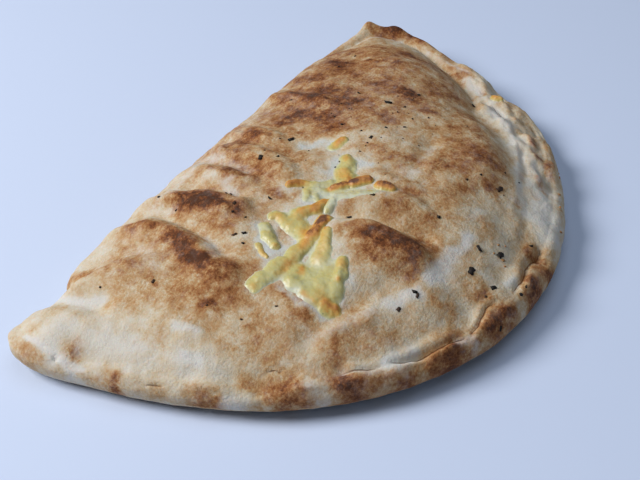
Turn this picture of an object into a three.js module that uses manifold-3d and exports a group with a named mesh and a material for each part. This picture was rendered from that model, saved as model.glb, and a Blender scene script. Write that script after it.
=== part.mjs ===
// Calzone: a disc of dough folded over its filling, sealed along the curved side with a rolled lip,
// baked until it puffed and blistered, with shreds of cheese melted on top and dried herb flakes
// scattered over it.
//
// Millimetres, +Z up. The origin is the middle of the footprint, on the surface that the food lies on.
// The fold runs along X on the +Y side, the sealed belly faces -Y, the blunt beak is at -X and the
// pinched, raised ear at +X.
import * as THREE from "three";
import { mergeVertices } from "three/addons/utils/BufferGeometryUtils.js";
import Module from "manifold-3d";

const wasm = await Module();
wasm.setup();

// ---------------------------------------------------------------- driving dimensions
const CROWN_HEIGHT = 42; // top of the dome above the floor
const BEAK_SLOPE = { drop: 7, start: 30, length: 120, power: 1.3 }; // the crown sinks towards the beak
const EAR_SLOPE = { drop: 3, start: 60, length: 90 }; // and a little towards the ear
const DOME_POWER = 2.5; // how flat the dome stays before it falls to its edge
const FOLD_ROUNDNESS = 1.9; // the dome's edge at the fold is round as a bolster
const BELLY_ROUNDNESS = 1.35; // and a plain slope down to the seam at the belly
const SEAM_BLEND = 2.0; // radius that joins lip and dome
const FULL_LIP = 12; // a lip this wide has its full seam
const LIP_UNDERCUT = 1.2; // how steeply the dome runs on down under the lip
const MESH_RIM = 9; // on the fold, the outer rings are as close as if it had a lip this wide
const RELIEF_FADE = 12; // ridges and creases fade out over this strip inside the outline
const BLISTER_FADE = 3; // and the lip's blisters over this one
const NODE_GAP = 0.3; // between the dough and the cheese, and between shreds

// The rim, counter-clockwise from the beak. Every station is a place on the outline with the lip's
// width and height there, how deep the seam lies below the lip, the height of the widest point of the
// side, and how far the underside curls in from there to the floor. The fold has no lip.
const RIM_STATIONS = [
  { at: [-154, 67], lip: 9, lipHeight: 18, seam: 0.8, edgeHeight: 11, foot: 13 },
  { at: [-148, 37], lip: 10, lipHeight: 18, seam: 1.2, edgeHeight: 10, foot: 13 },
  { at: [-138, 3], lip: 10, lipHeight: 18, seam: 1.2, edgeHeight: 10, foot: 13 },
  { at: [-119, -35], lip: 11, lipHeight: 18, seam: 1.5, edgeHeight: 10, foot: 14 },
  { at: [-88, -67], lip: 12, lipHeight: 19, seam: 2.0, edgeHeight: 10, foot: 14 },
  { at: [-47, -88], lip: 13, lipHeight: 19, seam: 2.5, edgeHeight: 10, foot: 14 },
  { at: [-4, -93], lip: 14, lipHeight: 19, seam: 3.0, edgeHeight: 10, foot: 14 },
  { at: [40, -84], lip: 15, lipHeight: 19, seam: 3.5, edgeHeight: 9, foot: 12 },
  { at: [80, -64], lip: 18, lipHeight: 18, seam: 4.0, edgeHeight: 8, foot: 9 },
  { at: [112, -39], lip: 24, lipHeight: 17, seam: 4.0, edgeHeight: 8, foot: 9 },
  { at: [132, -8], lip: 26, lipHeight: 17, seam: 3.5, edgeHeight: 8, foot: 9 },
  { at: [146, 24], lip: 19, lipHeight: 18, seam: 3.5, edgeHeight: 9, foot: 10 },
  { at: [154, 58], lip: 11, lipHeight: 19, seam: 3.5, edgeHeight: 10, foot: 12 },
  { at: [151, 84], lip: 15, lipHeight: 25, seam: 4.5, edgeHeight: 12, foot: 15 },
  { at: [132, 89], lip: 10, lipHeight: 22, seam: 3.0, edgeHeight: 13, foot: 14 },
  { at: [104, 94], lip: 2, lipHeight: 16, seam: 0.2, edgeHeight: 14, foot: 14 },
  { at: [66, 91], lip: 0, lipHeight: 14, seam: 0, edgeHeight: 14, foot: 14 },
  { at: [18, 89], lip: 0, lipHeight: 14, seam: 0, edgeHeight: 14, foot: 14 },
  { at: [-30, 87], lip: 0, lipHeight: 14, seam: 0, edgeHeight: 14, foot: 14 },
  { at: [-75, 86], lip: 0, lipHeight: 14, seam: 0, edgeHeight: 14, foot: 14 },
  { at: [-107, 84], lip: 0, lipHeight: 13, seam: 0, edgeHeight: 13, foot: 13 },
  { at: [-120, 75], lip: 0, lipHeight: 10, seam: 0, edgeHeight: 10, foot: 12 },
  { at: [-134, 81], lip: 2, lipHeight: 13, seam: 0.2, edgeHeight: 11, foot: 12 },
  { at: [-147, 82], lip: 5, lipHeight: 15, seam: 0.4, edgeHeight: 11, foot: 14 },
];
const CENTRE = new THREE.Vector2(0, -6); // the rings of the crust close in on this point

// Ridges that the dough puffed up into between its folds, and creases that stayed down between them.
// Each one runs from a point to a point in a shallow bow, with a bell-shaped section of that
// half-width. Creases have a negative rise. A ridge is steep on the left of its run and eases off on
// the right.
const STEEP_SIDE = 0.6;
const GENTLE_SIDE = 1.3;
const RIDGES = [
  { from: [-54, 68], to: [-50, 32], bow: 2, width: 8, rise: 3.6 },
  { from: [-28, 67], to: [-32, 42], bow: 1, width: 6, rise: 2.4 },
  { from: [-11, 70], to: [-19, 28], bow: 2, width: 8, rise: 3.0 },
  { from: [10, 80], to: [4, 52], bow: 0, width: 7, rise: 2.4 },
  { from: [45, 82], to: [45, 52], bow: -1, width: 8, rise: 2.6 },
  { from: [-75, 63], to: [-84, 14], bow: 2, width: 9, rise: 3.2 },
  { from: [-42, -14], to: [-37, -52], bow: 3, width: 10, rise: 4.2 },
  { from: [-26, -7], to: [-10, -32], bow: 2, width: 7, rise: 2.6 },
  { from: [98, 50], to: [110, 14], bow: 2, width: 9, rise: 1.6 },
  { from: [-74, -48], to: [-86, -38], bow: 0, width: 6, rise: 1.6 },
  { from: [-114, 70], to: [-103, 60], bow: 0, width: 10, rise: 2.6 },
  { from: [-99, 55], to: [-95, 48], bow: 0, width: 8, rise: 1.6 },
  { from: [72, -22], to: [30, -44], bow: 4, width: 14, rise: 2.0 },
];
const CREASES = [
  { from: [-127, 76], to: [-121, 52], bow: 1, width: 5, rise: -3.6 },
  { from: [-93, -32], to: [-38, -58], bow: 3, width: 6, rise: -2.8 },
  { from: [-33, -8], to: [-24, -46], bow: 1, width: 4.5, rise: -3.0 },
  { from: [7, -14], to: [7, -28], bow: 0, width: 5, rise: -1.8 },
  { from: [17, -20], to: [37, -16], bow: 0, width: 5, rise: -1.4 },
  { from: [-23, 68], to: [-28, 44], bow: 0, width: 4.5, rise: -2.0 },
  { from: [-46, 62], to: [-45, 38], bow: 0, width: 5, rise: -2.4 },
  { from: [-69, 64], to: [-78, 20], bow: 2, width: 5, rise: -2.4 },
  { from: [5, 30], to: [9, 23], bow: 0, width: 7, rise: -2.2 },
  { from: [-52, 20], to: [-58, 4], bow: 0, width: 9, rise: -1.6 },
  { from: [-12, 4], to: [-66, -16], bow: 0, width: 13, rise: -2.0 },
  { from: [110, -8], to: [100, -24], bow: 0, width: 5, rise: -1.6 },
];
const LUMPS = [
  { waves: [0.052, 0.037], phase: 0.6, rise: 0.55 },
  { waves: [-0.041, 0.083], phase: 2.1, rise: 0.45 },
  { waves: [0.127, -0.069], phase: 4.4, rise: 0.3 },
];
// Blisters and pinches along the lip: place, radius and rise.
const LIP_BLISTERS = [
  { at: [-149, 62], radius: 9, rise: 1.4 },
  { at: [-145, 44], radius: 6, rise: -1.2 },
  { at: [-140, 22], radius: 9, rise: 1.4 },
  { at: [-131, -10], radius: 8, rise: 2.0 },
  { at: [-120, -28], radius: 5, rise: -1.2 },
  { at: [-110, -43], radius: 8, rise: 2.2 },
  { at: [-96, -57], radius: 8, rise: 2.0 },
  { at: [-82, -66], radius: 7, rise: 1.4 },
  { at: [-72, -75], radius: 5, rise: -1.6 },
  { at: [-60, -79], radius: 8, rise: 2.0 },
  { at: [-38, -86], radius: 7, rise: 2.4 },
  { at: [-24, -87], radius: 7, rise: 1.8 },
  { at: [-6, -88], radius: 8, rise: 2.4 },
  { at: [12, -84], radius: 5, rise: -2.4 },
  { at: [28, -80], radius: 8, rise: 1.8 },
  { at: [48, -73], radius: 8, rise: 2.0 },
  { at: [66, -66], radius: 5, rise: -1.6 },
  { at: [78, -58], radius: 8, rise: 2.0 },
  { at: [93, -50], radius: 8, rise: 2.2 },
  { at: [107, -37], radius: 6, rise: -1.8 },
  { at: [118, -24], radius: 9, rise: 2.2 },
  { at: [128, -6], radius: 6, rise: -2.0 },
  { at: [135, 12], radius: 8, rise: 1.6 },
  { at: [141, 32], radius: 6, rise: -1.8 },
  { at: [148, 52], radius: 8, rise: 1.6 },
];

// Cheese shreds, the ones that lie on top of others first: where each starts and ends, how far its
// middle bows out, its width at both ends and its height above the dough.
const SHREDS = [
  { name: "cheese_long_shred", from: [-35, -5], to: [-88, 0], bow: 3, widths: [6, 7], height: 4.6 },
  { name: "cheese_browned_shred", from: [-21, 3], to: [-4, -10], bow: 0, widths: [5, 7], height: 4.8 },
  { name: "cheese_nugget", from: [-4, -12], to: [-7, -21], bow: 0, widths: [7, 7], height: 4.4 },
  { name: "cheese_lone_shred", from: [-53, 16], to: [-64, 1], bow: 0, widths: [6, 6], height: 4.2 },
  { name: "cheese_top_nub", from: [18, 21], to: [6, 20], bow: 0, widths: [5, 8], height: 3.6 },
  { name: "cheese_rim_bit", from: [118, -5], to: [120, -14], bow: 0, widths: [5, 5], height: 3.2 },
  { name: "cheese_golden_shred", from: [-25, 0], to: [-40, 6], bow: 0, widths: [6, 8], height: 4.0 },
  { name: "cheese_mound", from: [3, 10], to: [-12, 1], bow: 0, widths: [9, 12], height: 4.4 },
  { name: "cheese_arm_shred", from: [-28, 25], to: [-12, 5], bow: 0, widths: [6, 7], height: 4.0 },
  { name: "cheese_left_shred", from: [-48, 19], to: [-53, 2], bow: 0, widths: [6, 7], height: 3.8 },
  { name: "cheese_right_shred", from: [-51, -25], to: [-71, -29], bow: 0, widths: [6, 8], height: 4.2 },
  { name: "cheese_golden_end", from: [-75, -26], to: [-73, -38], bow: 0, widths: [9, 8], height: 4.4 },
  { name: "cheese_middle_shred", from: [-43, -10], to: [-63, -17], bow: 0, widths: [5, 9], height: 3.8 },
  { name: "cheese_melted_pool", from: [-67, -8], to: [-71, -28], bow: 0, widths: [12, 13], height: 3.6 },
  { name: "cheese_column", from: [12, 15], to: [2, 8], bow: 0, widths: [6, 8], height: 3.0 },
  { name: "cheese_web", from: [-38, -2], to: [-50, 6], bow: 0, widths: [7, 6], height: 3.2 },
  { name: "cheese_pale_lace", from: [-33, 10], to: [-20, 4], bow: 0, widths: [6, 9], height: 3.0 },
  { name: "cheese_pale_base", from: [-21, 1], to: [-12, -17], bow: 0, widths: [9, 6], height: 3.0 },
  { name: "cheese_pale_strip", from: [-23, -4], to: [-36, -5], bow: 0, widths: [7, 5], height: 3.0 },
  { name: "cheese_small_shred", from: [-64, 11], to: [-68, 1], bow: 0, widths: [3, 4], height: 2.6 },
];
const SHRED_SUNK = 0.45; // share of a shred's height that its section reaches below the dough's surface
const SHRED_END_HEIGHT = 0.55; // share of the section's height that its ends still have
const SHRED_RINGS = 9;
const SHRED_SIDES = 9;

// Herb flakes: the large ones by place and size, the small ones scattered by a seeded rule over the far half.
const LARGE_FLAKES = [
  { at: [54, 20], size: 4.0 },
  { at: [9, -1], size: 3.0 },
  { at: [7, 40], size: 3.8 },
  { at: [106, -2], size: 3.2 },
  { at: [33, -53], size: 3.8 },
  { at: [-27, -56], size: 3.2 },
  { at: [-48, -57], size: 4.0 },
  { at: [-22, -67], size: 3.0 },
  { at: [-80, -32], size: 3.2 },
  { at: [-17, -16], size: 2.6 },
  { at: [-34, -13], size: 2.6 },
  { at: [74, 13], size: 2.4 },
  { at: [-43, 36], size: 2.6 },
  { at: [-99, -6], size: 2.6 },
];
const SMALL_FLAKES = { count: 20, size: 1.8, middle: [30, 12], reach: [42, 34], apart: 5, seed: 11 };
const FLAKE_FORM = [1, 0.65, 0.35]; // length, width and thickness of a flake as shares of its size
const FLAKE_LIFT = 0.3; // how far a flake's middle stands above the dough

const CRUST_RINGS = 33; // ring k of the top has SECTORS * k points
const LIP_RINGS = 8; // the outermost of them lie on the lip
const LIP_RING_EASE = 0.85; // draws the lip's rings together towards the outline
const SECTORS = 6;
const UNDERSIDE_TURNS = [0, Math.PI / 6, Math.PI / 3, Math.PI / 2]; // rings down the curl of the side
const BASE_RINGS = [
  { share: 0.6, thinning: 3 },
  { share: 0.25, thinning: 12 },
]; // the flat base is closed by coarser and coarser rings
const RIM_SAMPLES = 720;
const TURN_STEPS = 360; // directions round the centre
const CALM_SWEEP = 18; // steps of direction, either way, over which the dome evens out its bends
const CALM_POWER = 7; // how fast the bends fade away from the rim

// ---------------------------------------------------------------- small sums
const clamp01 = (v) => Math.min(Math.max(v, 0), 1);
const mix = (a, b, t) => a + (b - a) * t;
const smoothStep = (v) => clamp01(v) ** 2 * (3 - 2 * clamp01(v));

// ---------------------------------------------------------------- the rim
// A closed curve through three of the stations' numbers.
function stationCurve(numbers) {
  const points = RIM_STATIONS.map((station) => new THREE.Vector3(...numbers(station)));
  return new THREE.CatmullRomCurve3(points, true, "catmullrom", 0.5);
}
const outline = stationCurve(({ at }) => [at[0], at[1], 0]);
const lipCurve = stationCurve(({ lip, lipHeight, seam }) => [lip, lipHeight, seam]);
const footCurve = stationCurve(({ edgeHeight, foot }) => [edgeHeight, foot, 0]);
outline.arcLengthDivisions = 2000;

// The rim at a share of the way round, measured along it.
function rimAt(share) {
  const t = outline.getUtoTmapping(share % 1);
  const { x, y } = outline.getPoint(t);
  const { x: lip, y: lipHeight, z: seam } = lipCurve.getPoint(t);
  const { x: edgeHeight, y: foot } = footCurve.getPoint(t);
  const reach = Math.hypot(x - CENTRE.x, y - CENTRE.y);
  const groove = Math.max(seam, 0);
  const shape = { lip: Math.max(lip, 0.01), lipHeight, groove, edgeHeight, foot };
  return { x, y, reach, lipShare: clamp01(lip / FULL_LIP), domeFoot: lipHeight - groove, ...shape };
}
const rimTable = Array.from({ length: RIM_SAMPLES }, (_, i) => rimAt(i / RIM_SAMPLES));

// The rim station that lies beyond a point, seen from the centre.
function rimBeyond(x, y) {
  const dx = x - CENTRE.x;
  const dy = y - CENTRE.y;
  const facing = (r) => ((r.x - CENTRE.x) * dx + (r.y - CENTRE.y) * dy) / r.reach;
  return rimTable.reduce((best, r) => (facing(r) > facing(best) ? r : best));
}

// The middle of the dome takes no notice of the bends at the beak, the neck and the ear. It follows
// the rim's mean reach, fullness of lip and height of seam over a broad sweep of directions.
const rimByTurn = Array.from({ length: TURN_STEPS }, (_, i) => {
  const angle = (2 * Math.PI * i) / TURN_STEPS;
  return rimBeyond(CENTRE.x + Math.cos(angle), CENTRE.y + Math.sin(angle));
});
const calmByTurn = rimByTurn.map((_, i) => {
  const sweep = Array.from({ length: 2 * CALM_SWEEP + 1 }, (_, j) => i + j - CALM_SWEEP + TURN_STEPS);
  const mean = (key) => sweep.reduce((sum, k) => sum + rimByTurn[k % TURN_STEPS][key], 0) / sweep.length;
  return { reach: mean("reach"), lipShare: mean("lipShare"), domeFoot: mean("domeFoot") };
});

// The calm rim in the direction of a point.
function calmTowards(x, y) {
  const turn = ((Math.atan2(y - CENTRE.y, x - CENTRE.x) / (2 * Math.PI) + 1) % 1) * TURN_STEPS;
  const before = calmByTurn[Math.floor(turn) % TURN_STEPS];
  const after = calmByTurn[Math.ceil(turn) % TURN_STEPS];
  const between = (key) => mix(before[key], after[key], turn % 1);
  return { reach: between("reach"), lipShare: between("lipShare"), domeFoot: between("domeFoot") };
}

// ---------------------------------------------------------------- the crust's height
// The higher of two surfaces, joined by a fillet of that radius.
function smoothMax(a, b, radius) {
  const h = clamp01(0.5 + (0.5 * (a - b)) / radius);
  return mix(b, a, h) + radius * h * (1 - h);
}

// A point on a bowed stroke, t from 0 to 1.
function strokePoint({ from, to, bow }, t) {
  const dx = to[0] - from[0];
  const dy = to[1] - from[1];
  const side = (4 * bow * t * (1 - t)) / Math.hypot(dx, dy);
  return [from[0] + dx * t - dy * side, from[1] + dy * t + dx * side];
}
const STROKE_STEPS = 8;
const strokes = [...RIDGES, ...CREASES].map((stroke) => ({
  ...stroke,
  points: Array.from({ length: STROKE_STEPS + 1 }, (_, i) => strokePoint(stroke, i / STROKE_STEPS)),
}));

// How far a point lies from a polyline, counted negative on its right.
function distanceToPath(points, x, y) {
  let best = Infinity;
  for (let i = 1; i < points.length; i++) {
    const [ax, ay] = points[i - 1];
    const [bx, by] = points[i];
    const t = clamp01(((x - ax) * (bx - ax) + (y - ay) * (by - ay)) / ((bx - ax) ** 2 + (by - ay) ** 2));
    const distance = Math.hypot(x - mix(ax, bx, t), y - mix(ay, by, t));
    const isLeft = (bx - ax) * (y - ay) > (by - ay) * (x - ax);
    if (distance < Math.abs(best)) best = isLeft ? distance : -distance;
  }
  return best;
}

const bell = (distance, width) => Math.exp(-((distance / width) ** 2));

// Ridges, creases and gentle lumps, faded out towards the outline.
function relief(x, y, inside) {
  let rise = 0;
  for (const s of strokes) {
    const distance = distanceToPath(s.points, x, y);
    const ridgeSide = distance > 0 ? STEEP_SIDE : GENTLE_SIDE;
    rise += s.rise * bell(distance, s.width * (s.rise < 0 ? 1 : ridgeSide));
  }
  for (const l of LUMPS) rise += l.rise * Math.sin(l.waves[0] * x + l.waves[1] * y + l.phase);
  return rise * smoothStep(inside / RELIEF_FADE);
}

function lipRelief(x, y, inside) {
  let rise = 0;
  for (const b of LIP_BLISTERS) rise += b.rise * bell(Math.hypot(x - b.at[0], y - b.at[1]), b.radius);
  return rise * smoothStep(inside / BLISTER_FADE);
}

// The same share measured on a rim whose bends fade away towards the centre.
const calmShare = (rim, calm, s) => (s * rim.reach) / mix(calm.reach, rim.reach, s ** CALM_POWER);

// Height of the dome's crown line, which sinks a little towards either end.
function crownHeight(x) {
  const beakward = clamp01((-x - BEAK_SLOPE.start) / BEAK_SLOPE.length) ** BEAK_SLOPE.power;
  const earward = clamp01((x - EAR_SLOPE.start) / EAR_SLOPE.length);
  return CROWN_HEIGHT - BEAK_SLOPE.drop * beakward - EAR_SLOPE.drop * earward;
}

// Height of the dome, which falls from its crown to the seam and a little further under the lip.
function domeHeight(rim, calm, s, x, seamAt) {
  const across = calmShare(rim, calm, s) / calmShare(rim, calm, seamAt);
  const foot = mix(calm.domeFoot, rim.domeFoot, clamp01(across) ** CALM_POWER);
  const roundness = mix(FOLD_ROUNDNESS, BELLY_ROUNDNESS, calm.lipShare);
  const fullness = clamp01(1 - clamp01(across) ** DOME_POWER) ** (1 / roundness);
  return mix(foot, crownHeight(x), fullness) - LIP_UNDERCUT * Math.max(across - 1, 0) * rim.reach;
}

// Height of the lip, a hollow slope up from the seam and a round edge down to the widest point of the side.
function lipHeightAt(rim, overLip) {
  if (overLip < 0.5) return rim.lipHeight - rim.groove * (1 - Math.max(2 * overLip, -9)) ** 2;
  return mix(rim.edgeHeight, rim.lipHeight, Math.sqrt(Math.max(1 - (2 * overLip - 1) ** 2, 0)));
}

// Height of the crust's upper surface. s is the share of the way from the centre to the rim.
function topHeight(rim, s, x, y) {
  const seamAt = 1 - rim.lip / rim.reach;
  const dome = domeHeight(rim, calmTowards(x, y), s, x, seamAt);
  const lip = lipHeightAt(rim, (s - seamAt) / (1 - seamAt));
  const inside = (1 - s) * rim.reach;
  const body = smoothMax(dome, lip, SEAM_BLEND * rim.lipShare + 0.05);
  return body + relief(x, y, inside) + lipRelief(x, y, inside);
}

function surfaceHeight(x, y) {
  const rim = rimBeyond(x, y);
  return topHeight(rim, Math.hypot(x - CENTRE.x, y - CENTRE.y) / rim.reach, x, y);
}

// ---------------------------------------------------------------- meshes from rings
// Triangles between two closed rings of any two counts, inner ring first. The strip walks round both
// at an even pace.
function stripBetween(triangles, innerStart, innerCount, outerStart, outerCount) {
  for (let j = 0; j < outerCount; j++) {
    const i = Math.ceil(((j + 0.5) * innerCount) / outerCount - 0.5) % innerCount;
    triangles.push(innerStart + i, outerStart + j, outerStart + ((j + 1) % outerCount));
  }
  for (let i = 0; i < innerCount; i++) {
    const j = Math.floor(((i + 0.5) * outerCount) / innerCount + 0.5) % outerCount;
    triangles.push(innerStart + i, outerStart + j, innerStart + ((i + 1) % innerCount));
  }
}

// A fan from a single first point to the ring after it, or from a ring to a single last point.
function fanOut(triangles, point, count) {
  for (let j = 0; j < count; j++) triangles.push(point, point + 1 + j, point + 1 + ((j + 1) % count));
}
function fanIn(triangles, start, count) {
  for (let i = 0; i < count; i++) triangles.push(start + i, start + count, start + ((i + 1) % count));
}

// A closed surface from rings of points, with a single point at either end.
function geometryFromRings(rings) {
  const positions = rings.flat(2);
  const triangles = [];
  let start = 0;
  for (let k = 1; k < rings.length; k++) {
    const before = rings[k - 1].length;
    const after = rings[k].length;
    if (before === 1) fanOut(triangles, start, after);
    else if (after === 1) fanIn(triangles, start, before);
    else stripBetween(triangles, start, before, start + before, after);
    start += before;
  }
  const geometry = new THREE.BufferGeometry();
  geometry.setAttribute("position", new THREE.Float32BufferAttribute(positions, 3));
  geometry.setIndex(triangles);
  return geometry;
}

function ring(count, pointAt) {
  return Array.from({ length: count }, (_, i) => pointAt(i / count));
}

// How far out ring k of the crust lies, as a share of the way to the rim. One ring follows the seam
// all the way round.
function ringReach(rim, k) {
  const seamRing = CRUST_RINGS - LIP_RINGS;
  const seamAt = 1 - Math.max(rim.lip, MESH_RIM) / rim.reach;
  if (k <= seamRing) return seamAt * (k / seamRing);
  return mix(seamAt, 1, Math.sin(((k - seamRing) / LIP_RINGS) * (Math.PI / 2)) ** LIP_RING_EASE);
}

// A place on the line from the centre to the rim.
const placeTowards = (rim, s) => [mix(CENTRE.x, rim.x, s), mix(CENTRE.y, rim.y, s)];

// Ring k of the crust's upper side.
function topRing(k) {
  return ring(SECTORS * k, (u) => {
    const rim = rimAt(u);
    const s = ringReach(rim, k);
    const [x, y] = placeTowards(rim, s);
    return [x, y, topHeight(rim, s, x, y)];
  });
}

// A ring on the quarter round that curls in from the widest point of the side to the floor.
function curlRing(turn, count) {
  return ring(count, (u) => {
    const rim = rimAt(u);
    const inset = rim.foot * (1 - Math.cos(turn));
    return [...placeTowards(rim, 1 - inset / rim.reach), rim.edgeHeight * (1 - Math.sin(turn))];
  });
}

// The crust: rings from the middle of the top out to the rim, round under the side, and in across the
// flat base.
function crustGeometry() {
  const rimCount = SECTORS * CRUST_RINGS;
  const rings = [[[CENTRE.x, CENTRE.y, topHeight(rimAt(0), 0, CENTRE.x, CENTRE.y)]]];
  for (let k = 1; k < CRUST_RINGS; k++) rings.push(topRing(k));
  for (const turn of UNDERSIDE_TURNS) rings.push(curlRing(turn, rimCount));
  for (const { share, thinning } of BASE_RINGS)
    rings.push(ring(rimCount / thinning, (u) => [...placeTowards(rimAt(u), share), 0]));
  rings.push([[CENTRE.x, CENTRE.y, 0]]);
  return geometryFromRings(rings);
}

// A place on a shred's line over the dough, with the level direction square to the line there.
function placeOnShred(shred, t) {
  const [x, y] = strokePoint(shred, t);
  const [ax, ay] = strokePoint(shred, t - 0.01);
  const [bx, by] = strokePoint(shred, t + 0.01);
  const along = Math.hypot(bx - ax, by - ay);
  const middle = surfaceHeight(x, y) + (shred.height * (1 - SHRED_SUNK)) / 2;
  return { x, y, nx: -(by - ay) / along, ny: (bx - ax) / along, middle };
}

// A shred: an oval section carried along its bowed line over the dough, with blunt round ends.
function shredGeometry(shred, grow) {
  const { widths, height } = shred;
  const tip = (t) => {
    const { x, y, middle } = placeOnShred(shred, t);
    return [[x, y, middle]];
  };
  const section = (t) => {
    const swell = (1 - Math.abs(2 * t - 1) ** 4) ** 0.5;
    const { x, y, nx, ny, middle } = placeOnShred(shred, t);
    const halfWidth = (mix(widths[0], widths[1], t) / 2) * swell + grow;
    const halfHeight = ((height * (1 + SHRED_SUNK)) / 2) * mix(SHRED_END_HEIGHT, 1, swell) + grow;
    return ring(SHRED_SIDES, (u) => {
      const side = halfWidth * Math.cos(-2 * Math.PI * u);
      return [x + nx * side, y + ny * side, middle + halfHeight * Math.sin(-2 * Math.PI * u)];
    });
  };
  const rings = [tip(0)];
  for (let k = 1; k < SHRED_RINGS; k++) rings.push(section((1 - Math.cos((Math.PI * k) / SHRED_RINGS)) / 2));
  rings.push(tip(1));
  return geometryFromRings(rings);
}

// ---------------------------------------------------------------- solids
function toSolid(geometry) {
  const bare = geometry.clone();
  bare.deleteAttribute("normal");
  bare.deleteAttribute("uv");
  const merged = mergeVertices(bare, 1e-4);
  return new wasm.Manifold(
    new wasm.Mesh({
      numProp: 3,
      vertProperties: new Float32Array(merged.attributes.position.array),
      triVerts: new Uint32Array(merged.index.array),
    }),
  );
}

function toGeometry(solid) {
  const { vertProperties, triVerts, numProp } = solid.getMesh();
  const geometry = new THREE.BufferGeometry();
  const positions = new Float32Array((vertProperties.length / numProp) * 3);
  for (let i = 0; i < positions.length / 3; i++)
    positions.set(vertProperties.subarray(i * numProp, i * numProp + 3), i * 3);
  geometry.setAttribute("position", new THREE.BufferAttribute(positions, 3));
  geometry.setIndex(new THREE.BufferAttribute(triVerts, 1));
  geometry.computeVertexNormals();
  return geometry;
}

// The largest body of a solid that a cut may have left in several pieces.
function mainBody(solid) {
  return solid.decompose().reduce((best, body) => (body.volume() > best.volume() ? body : best));
}

// A small seeded generator of even numbers from 0 to 1.
function seeded(seed) {
  let state = seed;
  return () => {
    state = (state * 1103515245 + 12345) % 2147483648;
    return state / 2147483648;
  };
}

// True where a flake lies on bare dough, clear of every shred.
function isBare(x, y, margin) {
  return SHREDS.every((shred) => {
    const line = Array.from({ length: STROKE_STEPS + 1 }, (_, i) => strokePoint(shred, i / STROKE_STEPS));
    return Math.abs(distanceToPath(line, x, y)) > Math.max(...shred.widths) / 2 + margin;
  });
}

function flakePlaces(random) {
  const places = LARGE_FLAKES.filter(({ at, size }) => isBare(...at, size / 2 + 1));
  const { count, size, middle, reach, apart } = SMALL_FLAKES;
  const wanted = places.length + count;
  while (places.length < wanted) {
    const at = [middle[0] + reach[0] * (2 * random() - 1), middle[1] + reach[1] * (2 * random() - 1)];
    const isApart = places.every((p) => Math.hypot(p.at[0] - at[0], p.at[1] - at[1]) > apart);
    if (isApart && isBare(...at, size)) places.push({ at, size: size * (0.8 + 0.5 * random()) });
  }
  return places;
}

// The dough with its flakes, each a flat chip pressed halfway into the surface, fused on.
function crustSolid() {
  const random = seeded(SMALL_FLAKES.seed);
  const chips = flakePlaces(random).map(({ at, size }) => {
    const chip = new THREE.IcosahedronGeometry(size / 2, 0)
      .scale(...FLAKE_FORM)
      .rotateZ(Math.PI * random())
      .translate(at[0], at[1], surfaceHeight(...at) + FLAKE_LIFT);
    return toSolid(chip);
  });
  return mainBody(chips.reduce((body, chip) => body.add(chip), bareCrust));
}

// Each shred, cut clear of the dough under it and of the shreds that lie over it.
function shredSolids() {
  const raisedCrust = bareCrust.translate([0, 0, NODE_GAP]);
  const over = [];
  return SHREDS.map((shred) => {
    let solid = toSolid(shredGeometry(shred, 0)).subtract(raisedCrust);
    for (const other of over) solid = solid.subtract(other);
    over.push(toSolid(shredGeometry(shred, NODE_GAP)));
    return mainBody(solid);
  });
}

// ---------------------------------------------------------------- the calzone
const bakedDough = new THREE.MeshStandardMaterial({ color: 0xc08a52, roughness: 0.85, metalness: 0 });
const meltedCheese = new THREE.MeshStandardMaterial({ color: 0xe6d27c, roughness: 0.35, metalness: 0 });

function namedMesh(name, geometry, material) {
  const mesh = new THREE.Mesh(geometry, material);
  mesh.name = name;
  return mesh;
}

const bareCrust = toSolid(crustGeometry());
const calzone = new THREE.Group();
calzone.add(namedMesh("crust", toGeometry(crustSolid()), bakedDough));

const cheese = new THREE.Group();
shredSolids().forEach((solid, i) => {
  cheese.add(namedMesh(SHREDS[i].name, toGeometry(solid), meltedCheese));
});
calzone.add(cheese);

export default calzone;
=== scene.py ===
"""Looks of a baked calzone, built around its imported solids.

A disc of dough is folded over its filling and sealed with a rolled lip. It has puffed, blistered and
browned in the oven, shreds of cheese have melted on top, and dried herb flakes lie scattered over it.
Everything stands in the part's own frame. Shapes are worked out in millimetres and put into their
meshes in metres.
"""

import logging
import math
from dataclasses import dataclass, field
from enum import Enum

import bpy
import numpy as np
from mathutils import Matrix, Vector


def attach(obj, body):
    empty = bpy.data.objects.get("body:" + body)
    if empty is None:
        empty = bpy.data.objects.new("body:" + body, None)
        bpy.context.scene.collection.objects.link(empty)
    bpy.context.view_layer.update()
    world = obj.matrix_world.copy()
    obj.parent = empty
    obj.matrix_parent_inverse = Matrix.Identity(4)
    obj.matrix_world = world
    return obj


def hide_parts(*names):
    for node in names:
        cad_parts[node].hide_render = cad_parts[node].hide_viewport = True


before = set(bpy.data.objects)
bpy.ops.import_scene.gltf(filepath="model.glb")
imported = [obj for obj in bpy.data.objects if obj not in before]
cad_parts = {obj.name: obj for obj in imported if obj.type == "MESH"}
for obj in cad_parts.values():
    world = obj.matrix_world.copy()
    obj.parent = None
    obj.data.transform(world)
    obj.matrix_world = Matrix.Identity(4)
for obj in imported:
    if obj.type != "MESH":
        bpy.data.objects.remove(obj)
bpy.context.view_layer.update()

BODY = "root"
MM = 0.001  # metres in a millimetre
LOG = logging.getLogger("calzone")

Array = np.ndarray
Piece = bpy.types.Object
Material = bpy.types.Material
Pair = tuple[float, float]
Path = tuple[Pair, ...]


class Slot(Enum):
    """Names of the material slots."""

    CRUST = "baked_crust"
    CHEESE = "melted_cheese"


class Crumb(Enum):
    """What a speck on the crust is: how dark it is on the herb finish's colour ramp."""

    HERB = 0.0
    CHARRED = 0.4
    TOASTED = 1.0


# --- small sums


def clamp01(value: Array) -> Array:
    """Returns the values held between 0 and 1."""
    return np.clip(value, 0.0, 1.0)


def mix(low: Array, high: Array, share: Array) -> Array:
    """Returns the value that lies that share of the way from low to high."""
    return low + (high - low) * share


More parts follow.
